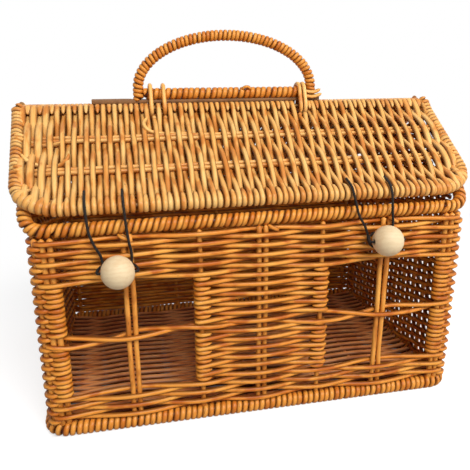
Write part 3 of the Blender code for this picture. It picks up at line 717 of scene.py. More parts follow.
@dataclass
class Walls:
    """The four woven walls, their windows, the stakes and the floor."""

    finishes: Finishes
    ring: Ring = field(default_factory=Ring)
    low: float = 0.0122
    pitch: float = 0.00411
    rows: int = 38
    window_rows: tuple[int, int] = (6, 28)
    crossing_rows: tuple[int, int] = (17, 18)
    strand: float = 0.00204
    weave: float = 0.0040
    end_strand: float = 0.00218
    end_weave: float = 0.0034
    back_strand: float = 0.00238
    back_weave: float = 0.0025
    droop: float = 0.0
    back_droop: float = 0.0007
    step: float = 0.0026
    edge_turn: float = 0.0043
    tail: float = 0.0072
    window_edge: float = 0.1625
    gable_rows: int = 16
    gable_shape: tuple[tuple[float, float], ...] = (
        (0.1685, 0.1012), (0.1865, 0.0850), (0.2345, 0.0085))

    def row_height(self, row: int) -> float:
        """Give a row's height."""
        return self.low + self.pitch * (row + 0.5)

    def kind(self, row: int) -> int:
        """Say which stakes a row passes in front of: 0 the even ones, 1 the odd ones."""
        return row % 2

    def knots(self, kind: int, first: int, last: int) -> list[tuple[float, float]]:
        """Give a row's ways round and offsets at the stakes, in front of every second one."""
        found = []
        for index in range(first, last + 1):
            sign = 1 if index % 2 == kind else -1
            found.append((self.ring.stake(index), sign * self.weave))
        return found

    def strand_from(self, knots: list[tuple[float, float]], height: float,
                    rng: np.random.Generator, rise: np.ndarray | None = None
                    ) -> tuple[np.ndarray, np.ndarray, np.ndarray]:
        """Lay one strand through its knots: a smooth curve, lowest where it bows out in front.

        Args:
            knots: ways round the ring and offsets, in order.
            height: the row's height.
            rng: where its unevenness comes from.
            rise: pairs of way round and height that replace the row's height.

        Returns:
            The strand's middle, its outward directions and its half widths.
        """
        flat = even(spline(np.array(knots), 10), self.step)
        way, off = flat.T
        off = np.clip(off, -self.weave * 1.06, self.weave * 1.06)
        level = np.full(len(way), height) if rise is None else np.interp(way, *rise.T)
        if rise is not None:
            level = np.convolve(np.pad(level, 4, mode="edge"), np.ones(9) / 9, mode="valid")
        behind = self.ring.stake(21) < np.mean(way) < self.ring.stake(29)
        droop = self.back_droop if behind else self.droop
        level = level - droop * off / self.weave + wobble(len(way), 0.00035, len(way) / 60, rng)
        points, outs = self.ring.read(way, off, level)
        flat_run = np.gradient(points, axis=0)
        outs = unit(np.cross(UP, flat_run)) * -1
        return points, outs, self.strand * end_taper(len(way))

    def turned_start(self, way: float, front_tail: bool) -> list[tuple[float, float]]:
        """Give the knots of a row's turn round an edge stake that the row then leaves rightwards.

        Args:
            way: the way round to the edge stake.
            front_tail: whether the short tail lies in front, and the row leaves behind.

        Returns:
            The knots, from the tail round the stake to its far side.
        """
        sign = 1 if front_tail else -1
        turn, off = self.edge_turn, self.weave
        return [(way + self.tail, sign * off * 0.62), (way + self.tail * 0.6, sign * off * 0.95),
                (way, sign * off), (way - turn * 0.75, sign * off * 0.62), (way - turn, 0.0),
                (way - turn * 0.75, -sign * off * 0.62), (way, -sign * off)]

    def turned_end(self, way: float, front_tail: bool) -> list[tuple[float, float]]:
        """Give the same turn for a row that arrives from the left, in the row's order."""
        mirrored = [(2 * way - place_at, off) for place_at, off in
                    self.turned_start(way, front_tail)]
        return mirrored[::-1]

    def window_edge_way(self, hand: int) -> float:
        """Give the way round to a window's outer stake, at the left (-1) or the right (1)."""
        middle = self.ring.stake(4)
        return middle + hand * self.window_edge

    def front_parts(self, row: int) -> list[list[tuple[float, float]]]:
        """Give the knots of each strand of a front row beside and between the windows."""
        kind = self.kind(row)
        ring = self.ring
        tail = kind == 0
        middle = (self.turned_start(ring.stake(3), tail) + self.knots(kind, 4, 4)
                  + self.turned_end(ring.stake(5), tail))
        parts = [middle]
        if kind == 1:
            left = self.knots(kind, 0, 1)[:1] + [(ring.stake(1) - 0.0025, self.weave)]
            left += self.turned_end(self.window_edge_way(-1), False)
            right = self.turned_start(self.window_edge_way(1), False)
            right += [(ring.stake(7) + 0.0025, self.weave)] + self.knots(kind, 8, 8)
            parts += [left, right]
        return parts

    def end_parts(self, side: Side, row: int) -> list[list[tuple[float, float]]]:
        """Give the knots of an end wall's row, which turns back at a window beside it."""
        kind = self.kind(row)
        first, last = side.value[kind]
        knots = self.knots(kind, first, last)
        low, high = self.window_rows
        if kind == 0 and low <= row <= high and row not in self.crossing_rows:
            if side is Side.RIGHT:
                knots = self.turned_start(self.window_edge_way(1), True) + knots[1:]
            if side is Side.LEFT:
                whole = self.ring.places()[-1]
                knots = knots[:-1] + self.turned_end(self.window_edge_way(-1) + whole, True)
        return [knots]

    def wall(self, side: Side, name: str, nodes: list[str], seed: int) -> None:
        """Weave one wall, with the gable above it at an end."""
        bundle = Bundle(seed)
        low, high = self.window_rows
        for row in range(self.rows):
            kind = self.kind(row)
            if side is Side.FRONT and row in self.crossing_rows:
                continue
            if side is Side.FRONT and low <= row <= high:
                parts = self.front_parts(row)
            elif side in (Side.LEFT, Side.RIGHT):
                parts = self.end_parts(side, row)
            else:
                parts = [self.knots(kind, *side.value[kind])]
            for part in parts:
                points, outs, width = self.strand_from(part, self.row_height(row), bundle.rng)
                bundle.add(points, outs, width, width * 0.96)
        if side in (Side.LEFT, Side.RIGHT):
            self.gable(side, bundle)
        bundle.piece(name, Body.BASKET, Slot.WEAVE, nodes, self.finishes.wall)

    def gable(self, side: Side, bundle: Bundle) -> None:
        """Weave a gable's rows between the two slopes of its border."""
        first = 9 if side is Side.RIGHT else 30
        middle = (self.ring.stake(first) + self.ring.stake(first + 11)) / 2
        heights, reaches = np.array(self.gable_shape).T
        for row in range(self.gable_rows):
            height = heights[0] + self.pitch * (row + 0.5)
            reach = float(np.interp(height, heights, reaches)) + 0.0015
            kind = row % 2
            knots = [knot for knot in self.knots(kind, first, first + 11)
                     if abs(knot[0] - middle) < reach - 0.004]
            sign = -np.sign(knots[0][1]), -np.sign(knots[-1][1])
            knots = ([(middle - reach, sign[0] * self.weave * 0.6)] + knots
                     + [(middle + reach, sign[1] * self.weave * 0.6)])
            points, outs, width = self.strand_from(knots, height, bundle.rng)
            bundle.add(points, outs, width, width * 0.96)

    def crossings(self) -> None:
        """Carry two strands across both windows, where they change places at the bars."""
        bundle = Bundle(31)
        middle = self.ring.stake(4)
        front = ((-0.170, 0.0882), (-0.160, 0.0864), (-0.112, 0.0831), (-0.073, 0.0860),
                 (-0.051, 0.0876), (0.0, 0.0882), (0.051, 0.0880), (0.110, 0.0819),
                 (0.142, 0.0814), (0.158, 0.0825), (0.170, 0.0841))
        behind = ((-0.170, 0.0841), (-0.164, 0.0796), (-0.129, 0.0803), (-0.105, 0.0870),
                  (-0.060, 0.0890), (-0.046, 0.0862), (0.0, 0.0841), (0.043, 0.0818),
                  (0.078, 0.0812), (0.107, 0.0850), (0.116, 0.0868), (0.160, 0.0861),
                  (0.170, 0.0882))
        for row, table in zip(self.crossing_rows[::-1], (front, behind)):
            rise = np.array(table) + np.array((middle, 0.0))
            knots = self.knots(self.kind(row), *Side.FRONT.value[self.kind(row)])
            points, outs, width = self.strand_from(knots, 0.0, bundle.rng, rise)
            bundle.add(points, outs, width, width * 0.96)
        nodes = [f"{word}_window_weaver_{part}" for word in ("left", "right")
                 for part in ("front", "back")]
        bundle.piece("window_crossing_strands", Body.BASKET, Slot.WEAVE, nodes,
                     self.finishes.wall)

    def uprights(self, name: str, places_at: list[tuple[float, float, float, float]],
                 nodes: list[str], seed: int) -> None:
        """Stand stakes in a wall.

        Args:
            name: the piece's name.
            places_at: each stake's x, y, top and radius.
            nodes: the nodes that they stand for.
            seed: where their unevenness comes from.
        """
        bundle = Bundle(seed)
        for x, y, top, radius in places_at:
            count = max(6, round((top - self.low) / 0.006))
            height = np.linspace(self.low - 0.002, top, count)
            path = np.column_stack([x + wobble(count, 0.00035, 1.3, bundle.rng),
                                    y + wobble(count, 0.0003, 1.1, bundle.rng), height])
            bundle.add(path, np.array((0.0, -1.0, 0.0)), radius, radius, sides=10, edge_shade=0.15)
        bundle.piece(name, Body.BASKET, Slot.STAKE, nodes, self.finishes.stake)

    def stand_stakes(self) -> None:
        """Stand every stake: pairs at the window bars and the middle, single ones elsewhere."""
        top = self.low + self.pitch * self.rows
        y = self.ring.half_depth
        bar, post, pair = 0.0021, 0.0024, 0.00275
        front = [(side * 0.107 + lean * pair, -y, top, bar) for side in (-1, 0, 1)
                 for lean in (-1, 1)]
        front += [(side * x, -y, top, post) for side in (-1, 1) for x in (0.1679, 0.1625)]
        front += [(side * 0.051, -y, top, 0.0020) for side in (-1, 1)]
        front_nodes = [f"{side}_window_bar_{part}" for side in ("left", "right")
                       for part in ("left", "right")]
        front_nodes += ["front_centre_stake_left", "front_centre_stake_right",
                        "front_left_post", "front_right_post"]
        self.uprights("front_stakes", front, front_nodes, 32)
        back = [(x, y, top, post) for x in (*self.ring.long_stakes,)]
        self.uprights("back_stakes", back, ["back_left_post", "back_left_stake",
                                            "back_centre_stake", "back_right_stake",
                                            "back_right_post"], 33)
        heights, reaches = np.array(self.gable_shape).T
        ends = np.linspace(-self.ring.end_stake_reach, self.ring.end_stake_reach,
                           self.ring.end_stakes)
        for word, hand in (("left", -1), ("right", 1)):
            stakes = []
            for place_at in ends:
                tip = float(np.interp(-abs(place_at), -reaches, heights))
                stakes.append((hand * self.ring.half_length, float(place_at), tip, 0.0021))
            self.uprights(f"{word}_end_stakes", stakes, [f"{word}_wall_stake"], 34 + hand)
        inset = self.ring.corner * (1 - math.sqrt(0.5))
        corners = [(sx * (self.ring.half_length - inset), sy * (y - inset), top, 0.0022)
                   for sx in (-1, 1) for sy in (-1, 1)]
        self.uprights("corner_stakes", corners, [], 36)

    def floor(self) -> None:
        """Weave the floor in rows along the basket over stakes that lie across it."""
        bundle = Bundle(40)
        stakes = np.array((-0.108, 0.0, 0.108))
        reach, half_depth, middle, lift = 0.1725, 0.1005, 0.0057, 0.0027
        rows = 43
        for row, y in enumerate(np.linspace(-half_depth + 0.0022, half_depth - 0.0022, rows)):
            sign = 1 if row % 2 else -1
            ways = np.concatenate([[-reach], stakes, [reach]])
            heights = lift * sign * np.where(np.arange(len(ways)) % 2, 1, -1)
            path = even(spline(np.column_stack([ways, np.full(len(ways), y), middle + heights]),
                               8), 0.0032)
            path[:, 1] += wobble(len(path), 0.0004, 3, bundle.rng)
            bundle.add(path, UP, 0.00285, 0.00190, sides=8, edge_shade=0.95)
        for x in stakes:
            path = np.column_stack([np.full(24, x), np.linspace(-0.101, 0.101, 24),
                                    np.full(24, middle)])
            bundle.add(path, UP, 0.0021, 0.0013, sides=8)
        bundle.piece("floor_strands", Body.BASKET, Slot.WEAVE, ["floor_weave"],
                     self.finishes.floor)

    def build(self) -> None:
        """Build the walls, the stakes and the floor."""
        ends = replace(self, strand=self.end_strand, weave=self.end_weave)
        back = replace(self, strand=self.back_strand, weave=self.back_weave)
        self.wall(Side.FRONT, "front_wall_strands", ["front_wall_weave"], 11)
        ends.wall(Side.RIGHT, "right_end_strands", ["right_wall_weave"], 12)
        back.wall(Side.BACK, "back_wall_strands", ["back_wall_weave"], 13)
        ends.wall(Side.LEFT, "left_end_strands", ["left_wall_weave"], 14)
        self.crossings()
        self.stand_stakes()
        self.floor()


@dataclass
class Borders:
    """The wrapped edges of the body: the base ring, both rims and the two gable borders."""

    finishes: Finishes
    base_half_length: float = 0.1775
    base_half_depth: float = 0.1070
    base_corner: float = 0.0140
    base_height: float = 0.0057
    base_radius: float = 0.0062
    rim_half_length: float = 0.1603
    rim_offset: float = 0.1040
    rim_height: float = 0.1745
    rim_radius: float = 0.0057
    gable_radius: float = 0.0055
    gable_reach: float = 0.1805
    slope_foot: Point = (0.1805, -0.0900, 0.1880)
    strand: float = 0.00165
    pitch: float = 0.0044

    def wrapped(self, bundle: Bundle, path: np.ndarray, radius: float, reference: Point,
                hand: Hand, pitch: float | None = None, starts: int = 1) -> None:
        """Wrap a border: a core darkened with painted shade under a strand wound so that its turns touch.

        Args:
            bundle: the piece that takes the strands.
            path: the border's middle.
            radius: the finished border's radius.
            reference: where the first turn starts.
            hand: which way the wrap climbs.
            pitch: how far apart two bumps are, where it isn't the usual way.
            starts: how many strands are wound side by side, which makes them lean.
        """
        pitch = (pitch or self.pitch) * starts
        for start in range(starts):
            middle, outs, turns = coil(path, radius - self.strand, pitch, reference, hand,
                                       bundle.rng, phase=start / starts)
            climb = lengths(even(path, 0.002))[-1] / turns
            lean = math.atan(climb / (2 * math.pi * (radius - self.strand)))
            broad = climb / starts / 2 * math.cos(lean) * 1.02
            bundle.add(middle, outs, broad * end_taper(len(middle)), self.strand,
                       edge_shade=0.85)
        # Painted shade: the core takes almost all shade colour, so it shows dark between the turns.
        core = even(path, 0.004)
        bundle.add(core, np.array((0.02, 0.03, 1.0)), radius - 1.5 * self.strand,
                   radius - 1.5 * self.strand, sides=8, shade=0.9)

    def base(self) -> None:
        """Wrap the ring that the basket stands on, flat where it touches the ground."""
        quarter = np.linspace(0, math.pi / 2, 9)
        half = (self.base_half_length - self.base_corner, self.base_half_depth - self.base_corner)
        parts = []
        for turn, (sx, sy) in enumerate(((-1, 1), (-1, -1), (1, -1), (1, 1))):
            angle = quarter + math.pi * (1 + turn) / 2
            parts.append(np.column_stack([sx * half[0] + self.base_corner * np.cos(angle),
                                          sy * half[1] + self.base_corner * np.sin(angle),
                                          np.full(len(angle), self.base_height)]))
        ring = np.concatenate(parts + [parts[0][:1]])
        ring = np.roll(ring[:-1], -len(ring) // 8, axis=0)
        start = (ring[:1] + ring[-1:]) / 2
        ring = np.concatenate([start, ring, start])
        bundle = Bundle(50)
        self.wrapped(bundle, ring, self.base_radius, (0, 0, -1), Hand.LEFT, 0.0050)
        bundle.piece("base_wrap", Body.BASKET, Slot.BORDER, ["base_border"],
                     self.finishes.border, floor=0.0)

    def rims(self) -> None:
        """Wrap the rims along the tops of the long walls, and leave a few tucked tails."""
        for word, side, seed in (("front", -1, 51), ("back", 1, 52)):
            bundle = Bundle(seed)
            y = side * self.rim_offset
            path = np.array([(-self.rim_half_length, y, self.rim_height),
                             (self.rim_half_length, y, self.rim_height)])
            self.wrapped(bundle, path, self.rim_radius, (0, side, 0), Hand.LEFT, 0.0047, 2)
            for x in (-0.113, 0.004, 0.108):
                tail = np.array([(x, y + side * 0.0040, self.rim_height - 0.0046),
                                 (x + 0.0020, y + side * 0.0062, self.rim_height - 0.0060),
                                 (x + 0.0050, y + side * 0.0068, self.rim_height - 0.0074),
                                 (x + 0.0085, y + side * 0.0055, self.rim_height - 0.0092)])
                path = even(spline(tail), 0.0009)
                bundle.add(path, np.array((0.0, float(side), 0.0)),
                           0.0018 * end_taper(len(path)), 0.0013 * end_taper(len(path)))
            bundle.piece(f"{word}_rim_wrap", Body.BASKET, Slot.BORDER, [f"{word}_rim"],
                         self.finishes.border)

    def gable_path(self, hand: int) -> np.ndarray:
        """Trace a gable border from the front rim over the ridge to the back rim.

        Two Bezier curves round the shoulder and half the crown, and the rest is their mirror.
        """
        level, fall = ROOF.level, ROOF.fall
        down = np.array((0.0, -level, -fall))
        drop = 0.0052 + self.gable_radius + 0.0003
        top = ROOF.to_world(-1, np.array((self.gable_reach, 0.0, -drop)))
        apex = top + down * (top[1] / level)
        foot = apex + down * (0.0900 / level)
        rim_end = np.array((self.rim_half_length, -self.rim_offset, self.rim_height))
        bend = rim_end + np.array((self.rim_radius, 0, 0))
        pull = bend + np.array(((self.gable_reach - bend[0]) * 0.86, 0, 0))
        front = bezier(bend, pull, foot + down * 0.0100, foot)
        shoulder = apex + down * 0.0100
        mirrored = shoulder * np.array((1, -1, 1))
        crown = bezier(shoulder, shoulder + (apex - shoulder) * 0.6,
                       mirrored + (apex - mirrored) * 0.6, mirrored, 8)
        half = np.concatenate([rim_end[None], front, crown[:5]])
        path = np.concatenate([half, half[-2::-1] * np.array((1, -1, 1))])
        return path * np.array((hand, 1, 1))

    def gables(self) -> None:
        """Wrap both gable borders."""
        for word, hand, seed in (("left", -1, 53), ("right", 1, 54)):
            bundle = Bundle(seed)
            self.wrapped(bundle, self.gable_path(hand), self.gable_radius, (0, 0, 1),
                         Hand.LEFT, 0.0047, 2)
            bundle.piece(f"{word}_gable_wrap", Body.BASKET, Slot.BORDER,
                         [f"{word}_gable_border"], self.finishes.border)

    def build(self) -> None:
        """Build every border of the body."""
        self.base()
        self.rims()
        self.gables()


@dataclass
class RoofPlane:
    """A slope's own frame: X along the ridge, s down the slope and h square out of it."""

    ridge_height: float = 0.2543
    ridge_offset: float = 0.0056
    eave_height: float = 0.1911
    reach: float = 0.1057

    @property
    def length(self) -> float:
        """Give the way from the ridge rod's middle to the eave's."""
        return math.hypot(self.reach - self.ridge_offset, self.ridge_height - self.eave_height)

    @property
    def level(self) -> float:
        """Give how far a step down the slope goes out."""
        return (self.reach - self.ridge_offset) / self.length

    @property
    def fall(self) -> float:
        """Give how far a step down the slope falls."""
        return (self.ridge_height - self.eave_height) / self.length

    def axes(self, side: int) -> np.ndarray:
        """Give the frame's axes as rows: X, down and out."""
        return np.array(((1, 0, 0), (0, side * self.level, -self.fall),
                         (0, side * self.fall, self.level)))

    def to_world(self, side: int, points: np.ndarray) -> np.ndarray:
        """Carry (x, s, h) points of the front (-1) or rear (1) slope into place."""
        origin = np.array((0.0, side * self.ridge_offset, self.ridge_height))
        return points @ self.axes(side) + origin


ROOF = RoofPlane()

# Spare strands beside the lid's rods, which end in tails: x, way down the slope and height on it
LID_TAILS = (
    ((-0.1829, 0.0614, 0.0040), (-0.1758, 0.0690, 0.0020), (-0.1646, 0.0722, 0.0),
     (-0.1548, 0.0722, 0.0005), (-0.1486, 0.0700, 0.0040), (-0.1466, 0.0655, 0.0060)),
    ((-0.1850, 0.0455, 0.0), (-0.1700, 0.0463, 0.0), (-0.1600, 0.0466, 0.0005),
     (-0.1530, 0.0480, 0.0032)),
    ((-0.0820, 0.0198, 0.0050), (-0.0857, 0.0280, 0.0060), (-0.0840, 0.0350, 0.0052),
     (-0.0772, 0.0368, 0.0020), (-0.0643, 0.0362, 0.0), (-0.0470, 0.0360, 0.0)),
)


@dataclass
class Slope:
    """One slope of the roof: strands from ridge to eave over two pairs of rods, and its edges."""

    finishes: Finishes
    prefix: str
    side: int
    body: Body
    seed: int
    strands: int = 79
    spacing: float = 0.00473
    top_spacing: float = 0.0048
    half_width: float = 0.00242
    half_thick: float = 0.00195
    ridge_wrap: float = 0.00315
    eave_wrap: float = 0.00385
    over_rods: float = 0.00375
    rods: tuple[float, float] = (0.04025, 0.07813)
    rod_pair: float = 0.00205
    rod_radius: float = 0.0019
    side_reach: float = 0.1900
    side_taper: float = 0.0044
    side_radius: float = 0.0052
    corner_run: float = 0.0336
    corner_rise: float = 0.0284
    lashings: tuple[float, ...] = (-0.0772, -0.0657, 0.0610, 0.0656)
    notch_room: float = 0.0024

    def side_middle(self, down: float) -> float:
        """Give a side border's reach from the middle, at a place down the slope."""
        return self.side_reach - self.side_taper * down / (ROOF.length - self.corner_rise)

    def side_path(self) -> np.ndarray:
        """Trace the right side border in (x, s, h), round its corner to the eave."""
        foot = ROOF.length - self.corner_rise
        start = np.array((self.side_middle(foot), foot, 0.0))
        end = np.array((start[0] - self.corner_run, ROOF.length, 0.0))
        corner = bezier(start, start + np.array((0, self.corner_rise * 0.50, 0)),
                        end + np.array((self.corner_run * 0.60, 0, 0)), end)
        top = np.array([(self.side_middle(-0.0015), -0.0015, 0.0030),
                        (self.side_middle(0.0030), 0.0030, 0.0018),
                        (self.side_middle(0.0085), 0.0085, 0.0006),
                        (self.side_middle(0.015), 0.0150, 0.0)])
        return np.concatenate([top, corner, end[None] - np.array((self.side_radius, 0, 0))])

    def eave_line(self) -> tuple[np.ndarray, np.ndarray]:
        """Trace the eave from corner to corner in (x, s), with its outward normals."""
        foot = ROOF.length - self.corner_rise
        right = self.side_path()[4:-1][::-1, :2]
        line = np.concatenate([right[::-1] * np.array((-1, 1)), np.array([(0, ROOF.length)]),
                               right])
        line = even(line[line[:, 1] >= foot - 1e-6], 0.001)
        run = unit(np.gradient(line, axis=0))
        return line, np.column_stack([-run[:, 1], run[:, 0]])

    def eave_places(self, offsets: np.ndarray) -> tuple[np.ndarray, np.ndarray]:
        """Give the eave's points and normals at ways from its middle."""
        line, normal = self.eave_line()
        travelled = lengths(line)
        ways = np.clip(offsets + travelled[-1] / 2, 0, travelled[-1])
        points = np.stack([np.interp(ways, travelled, axis) for axis in line.T], -1)
        out = unit(np.stack([np.interp(ways, travelled, axis) for axis in normal.T], -1))
        return points, out

    def strand_paths(self, sign: int, tops: np.ndarray, feet: np.ndarray, outward: np.ndarray,
                     notched: np.ndarray, rng: np.random.Generator) -> np.ndarray:
        """Lay strands from the ridge to the eave.

        Each starts with a tuck, goes round the ridge rod, then over and under the two pairs of
        rods along cosine swells, and goes round the eave to a second tuck.

        Args:
            sign: 1 for strands that lie over the first of the ridge, -1 for the others.
            tops: x at the ridge.
            feet: (x, s) at the eave.
            outward: the eave's normals there.
            notched: whether a strand makes room for a lashing and starts below the ridge.
            rng: where their unevenness comes from.

        Returns:
            The strands' middles as (strands, points, 3), in (x, s, h).
        """
        count = len(tops)
        turn = np.linspace(-math.pi / 2, -3 * math.pi / 2, 9)
        tuck = np.array(((0.0064, -0.52), (0.0046, -0.68), (0.0024, -0.90)))
        around = np.column_stack([self.ridge_wrap * np.cos(turn), np.sin(turn)])
        lead = np.concatenate([tuck, around])
        steps = np.arange(len(lead)) * 0.0002
        lead_down = np.where(notched[:, None], 0.0120 + steps, lead[:, 0])
        lead_high = np.where(notched[:, None], steps - 0.0010, lead[:, 1] * self.ridge_wrap)
        level = np.repeat(tops[:, None], len(lead), axis=1)
        lead_across = self.make_room(level, tops, lead_down)
        opening = np.stack([lead_across, lead_down, sign * lead_high], -1)

        t = np.linspace(0, 1, 45)[1:-1]
        low = np.where(notched, 0.0145, 0.0)[:, None]
        foot = feet[:, 1:]
        down = low + (foot - low) * t
        stops = (np.zeros_like(foot), np.full_like(foot, self.rods[0]),
                 np.full_like(foot, self.rods[1]), foot)
        swell = (self.ridge_wrap, -self.over_rods, self.over_rods, -self.eave_wrap)
        height = np.zeros_like(down)
        for start, stop, before, after in zip(stops, stops[1:], swell, swell[1:]):
            share = np.clip((down - start) / (stop - start), 0, 1)
            mix = 0.75 * (0.5 - 0.5 * np.cos(math.pi * share))
            mix = mix + 0.25 * smooth_step(share, 0.12, 0.88)
            height = np.where(down >= start, before + (after - before) * mix, height)
        share = np.clip(down / foot, 0, 1)
        across = tops[:, None] + (feet[:, :1] - tops[:, None]) * share
        across = self.make_room(across, tops, down)
        sway = rng.uniform(0, 2 * math.pi, (count, 1))
        across = across + 0.00035 * np.sin(3 * math.pi * share + sway) * np.sin(math.pi * share)
        span = np.stack([across, down, sign * height], -1)

        turn = np.linspace(-math.pi / 2, math.pi / 2, 9)
        tuck = np.array(((-0.0035, 0.0037), (-0.0065, 0.0029), (-0.0095, 0.0015)))
        close = np.concatenate([self.eave_wrap * np.column_stack([np.cos(turn), np.sin(turn)]),
                                tuck])
        away = np.repeat(close[None, :, 0], count, axis=0)
        away[:, -1] += rng.uniform(-0.001, 0.001, count)
        high = np.repeat(sign * close[None, :, 1], count, axis=0)
        end = np.stack([feet[:, :1] + away * outward[:, :1], foot + away * outward[:, 1:], high],
                       -1)
        return np.concatenate([opening, span, end], axis=1)

    def make_room(self, across: np.ndarray, tops: np.ndarray, down: np.ndarray) -> np.ndarray:
        """Push strands aside from the lashings near the ridge, less and less down the slope."""
        room, least = 0.0046, self.notch_room
        for place_at in self.lashings:
            gap = tops - place_at
            beside = (np.abs(gap) < room) & (np.abs(gap) >= least)
            push = np.where(beside, np.sign(gap) * (room - np.abs(gap)), 0.0)
            fade = 1 - smooth_step(down, 0.010, 0.032)
            across = across + push[:, None] * fade
        return across

    def weave(self) -> None:
        """Weave the slope's strands, every second one over the ridge first."""
        bundle = Bundle(self.seed)
        order = np.arange(self.strands) - (self.strands - 1) / 2
        tops = 0.001 + order * self.top_spacing + bundle.rng.normal(0, 0.0002, self.strands)
        offsets = -0.0010 + order * self.spacing + bundle.rng.normal(0, 0.0003, self.strands)
        feet, outward = self.eave_places(offsets)
        near = np.min(np.abs(tops[:, None] - np.array(self.lashings)), axis=1)
        axes = ROOF.axes(self.side)
        for sign, chosen in ((1, order % 2 != 0), (-1, order % 2 == 0)):
            paths = self.strand_paths(sign, tops[chosen], feet[chosen], outward[chosen],
                                      near[chosen] < self.notch_room, bundle.rng)
            run = unit(np.gradient(paths, axis=1))
            flat = np.array((1.0, 0.0, 0.0))
            skew = np.column_stack([outward[chosen][:, 1], -outward[chosen][:, 0],
                                    np.zeros(chosen.sum())]) - flat
            share = smooth_step(paths[..., 1:2], 0.095, 0.112)
            outs = np.cross(run, flat + share * skew[:, None]) @ axes
            world = ROOF.to_world(self.side, paths)
            taper = end_taper(paths.shape[1], 3, 0.45)
            last = smooth_step(np.abs(order[chosen]) / order[-1], 0.83, 0.93)
            broad = self.half_width * (1 + 0.40 * last[:, None])
            bundle.add(world, outs, broad * taper, self.half_thick * taper, sides=8,
                       edge_shade=0.90)
        # Ridge and eave cores, darkened with painted shade.
        for radius, down, reach in ((0.0015, 0.0, self.side_middle(0) - self.side_radius),
                                    (0.0020, ROOF.length, self.side_path()[-1][0])):
            core = np.column_stack([np.linspace(-reach, reach, 40), np.full(40, down),
                                    np.zeros(40)])
            bundle.add(ROOF.to_world(self.side, core), axes[2], radius, radius, shade=0.6)
        bundle.piece(f"{self.prefix}_strands", self.body, Slot.WEAVE,
                     [f"{self.prefix}_weave", f"{self.prefix}_ridge_rod",
                      f"{self.prefix}_eave_border"], self.finishes.roof)

    def lay_rods(self) -> None:
        """Lay the two pairs of rods through the weave, and their ends over the side borders."""
        bundle = Bundle(self.seed + 1)
        out = ROOF.axes(self.side)[2]
        over, high = np.array(((-0.0058, 0.0020), (-0.0042, 0.0042), (-0.0018, 0.0050),
                               (0.0004, 0.0044))).T
        for middle in self.rods:
            for lean in (-1, 1):
                down = middle + lean * self.rod_pair
                reach = self.side_middle(down) - self.side_radius * 0.8
                x = np.linspace(-reach, reach, 90)
                wave = wobble(90, 0.0005, 6, bundle.rng)
                level = np.column_stack([x, down + wave, np.zeros(90)])[::9]
                edge = self.side_middle(down)
                left = np.column_stack([-edge - over, np.full(4, down + wave[0]), high])
                right = np.column_stack([edge + over, np.full(4, down + wave[-1]), high])
                path = even(spline(np.concatenate([left[::-1], level, right])), 0.0022)
                bundle.add(ROOF.to_world(self.side, path), out,
                           self.rod_radius * end_taper(len(path)), self.rod_radius, sides=8,
                           edge_shade=0.3)
        for tail in LID_TAILS if self.body is Body.LID else ():
            path = even(spline(np.array(tail)), 0.0012)
            bundle.add(ROOF.to_world(self.side, path), out,
                       self.rod_radius * end_taper(len(path), 6, 0.3), self.rod_radius,
                       sides=8, edge_shade=0.5)
        nodes = [f"{self.prefix}_rod_{index}_{part}" for index in (1, 2)
                 for part in ("upper", "lower")]
        bundle.piece(f"{self.prefix}_rods", self.body, Slot.STAKE, nodes, self.finishes.roof)

    def wrap_sides(self) -> None:
        """Wrap both side borders closely, down to their corners and into the eave."""
        borders = Borders(self.finishes, strand=0.0017)
        for word, hand in (("left", -1), ("right", 1)):
            bundle = Bundle(self.seed + 3 + hand)
            path = self.side_path() * np.array((hand, 1, 1))
            borders.wrapped(bundle, ROOF.to_world(self.side, path), self.side_radius,
                            tuple(ROOF.axes(self.side)[2]),
                            Hand.LEFT if hand * self.side > 0 else Hand.RIGHT, 0.0045)
            bundle.piece(f"{self.prefix}_side_wrap_{word}", self.body, Slot.BORDER,
                         [f"{self.prefix}_side_border_{word}"], self.finishes.roof)

    def build(self) -> None:
        """Build the slope."""
        self.weave()
        self.lay_rods()
        self.wrap_sides()


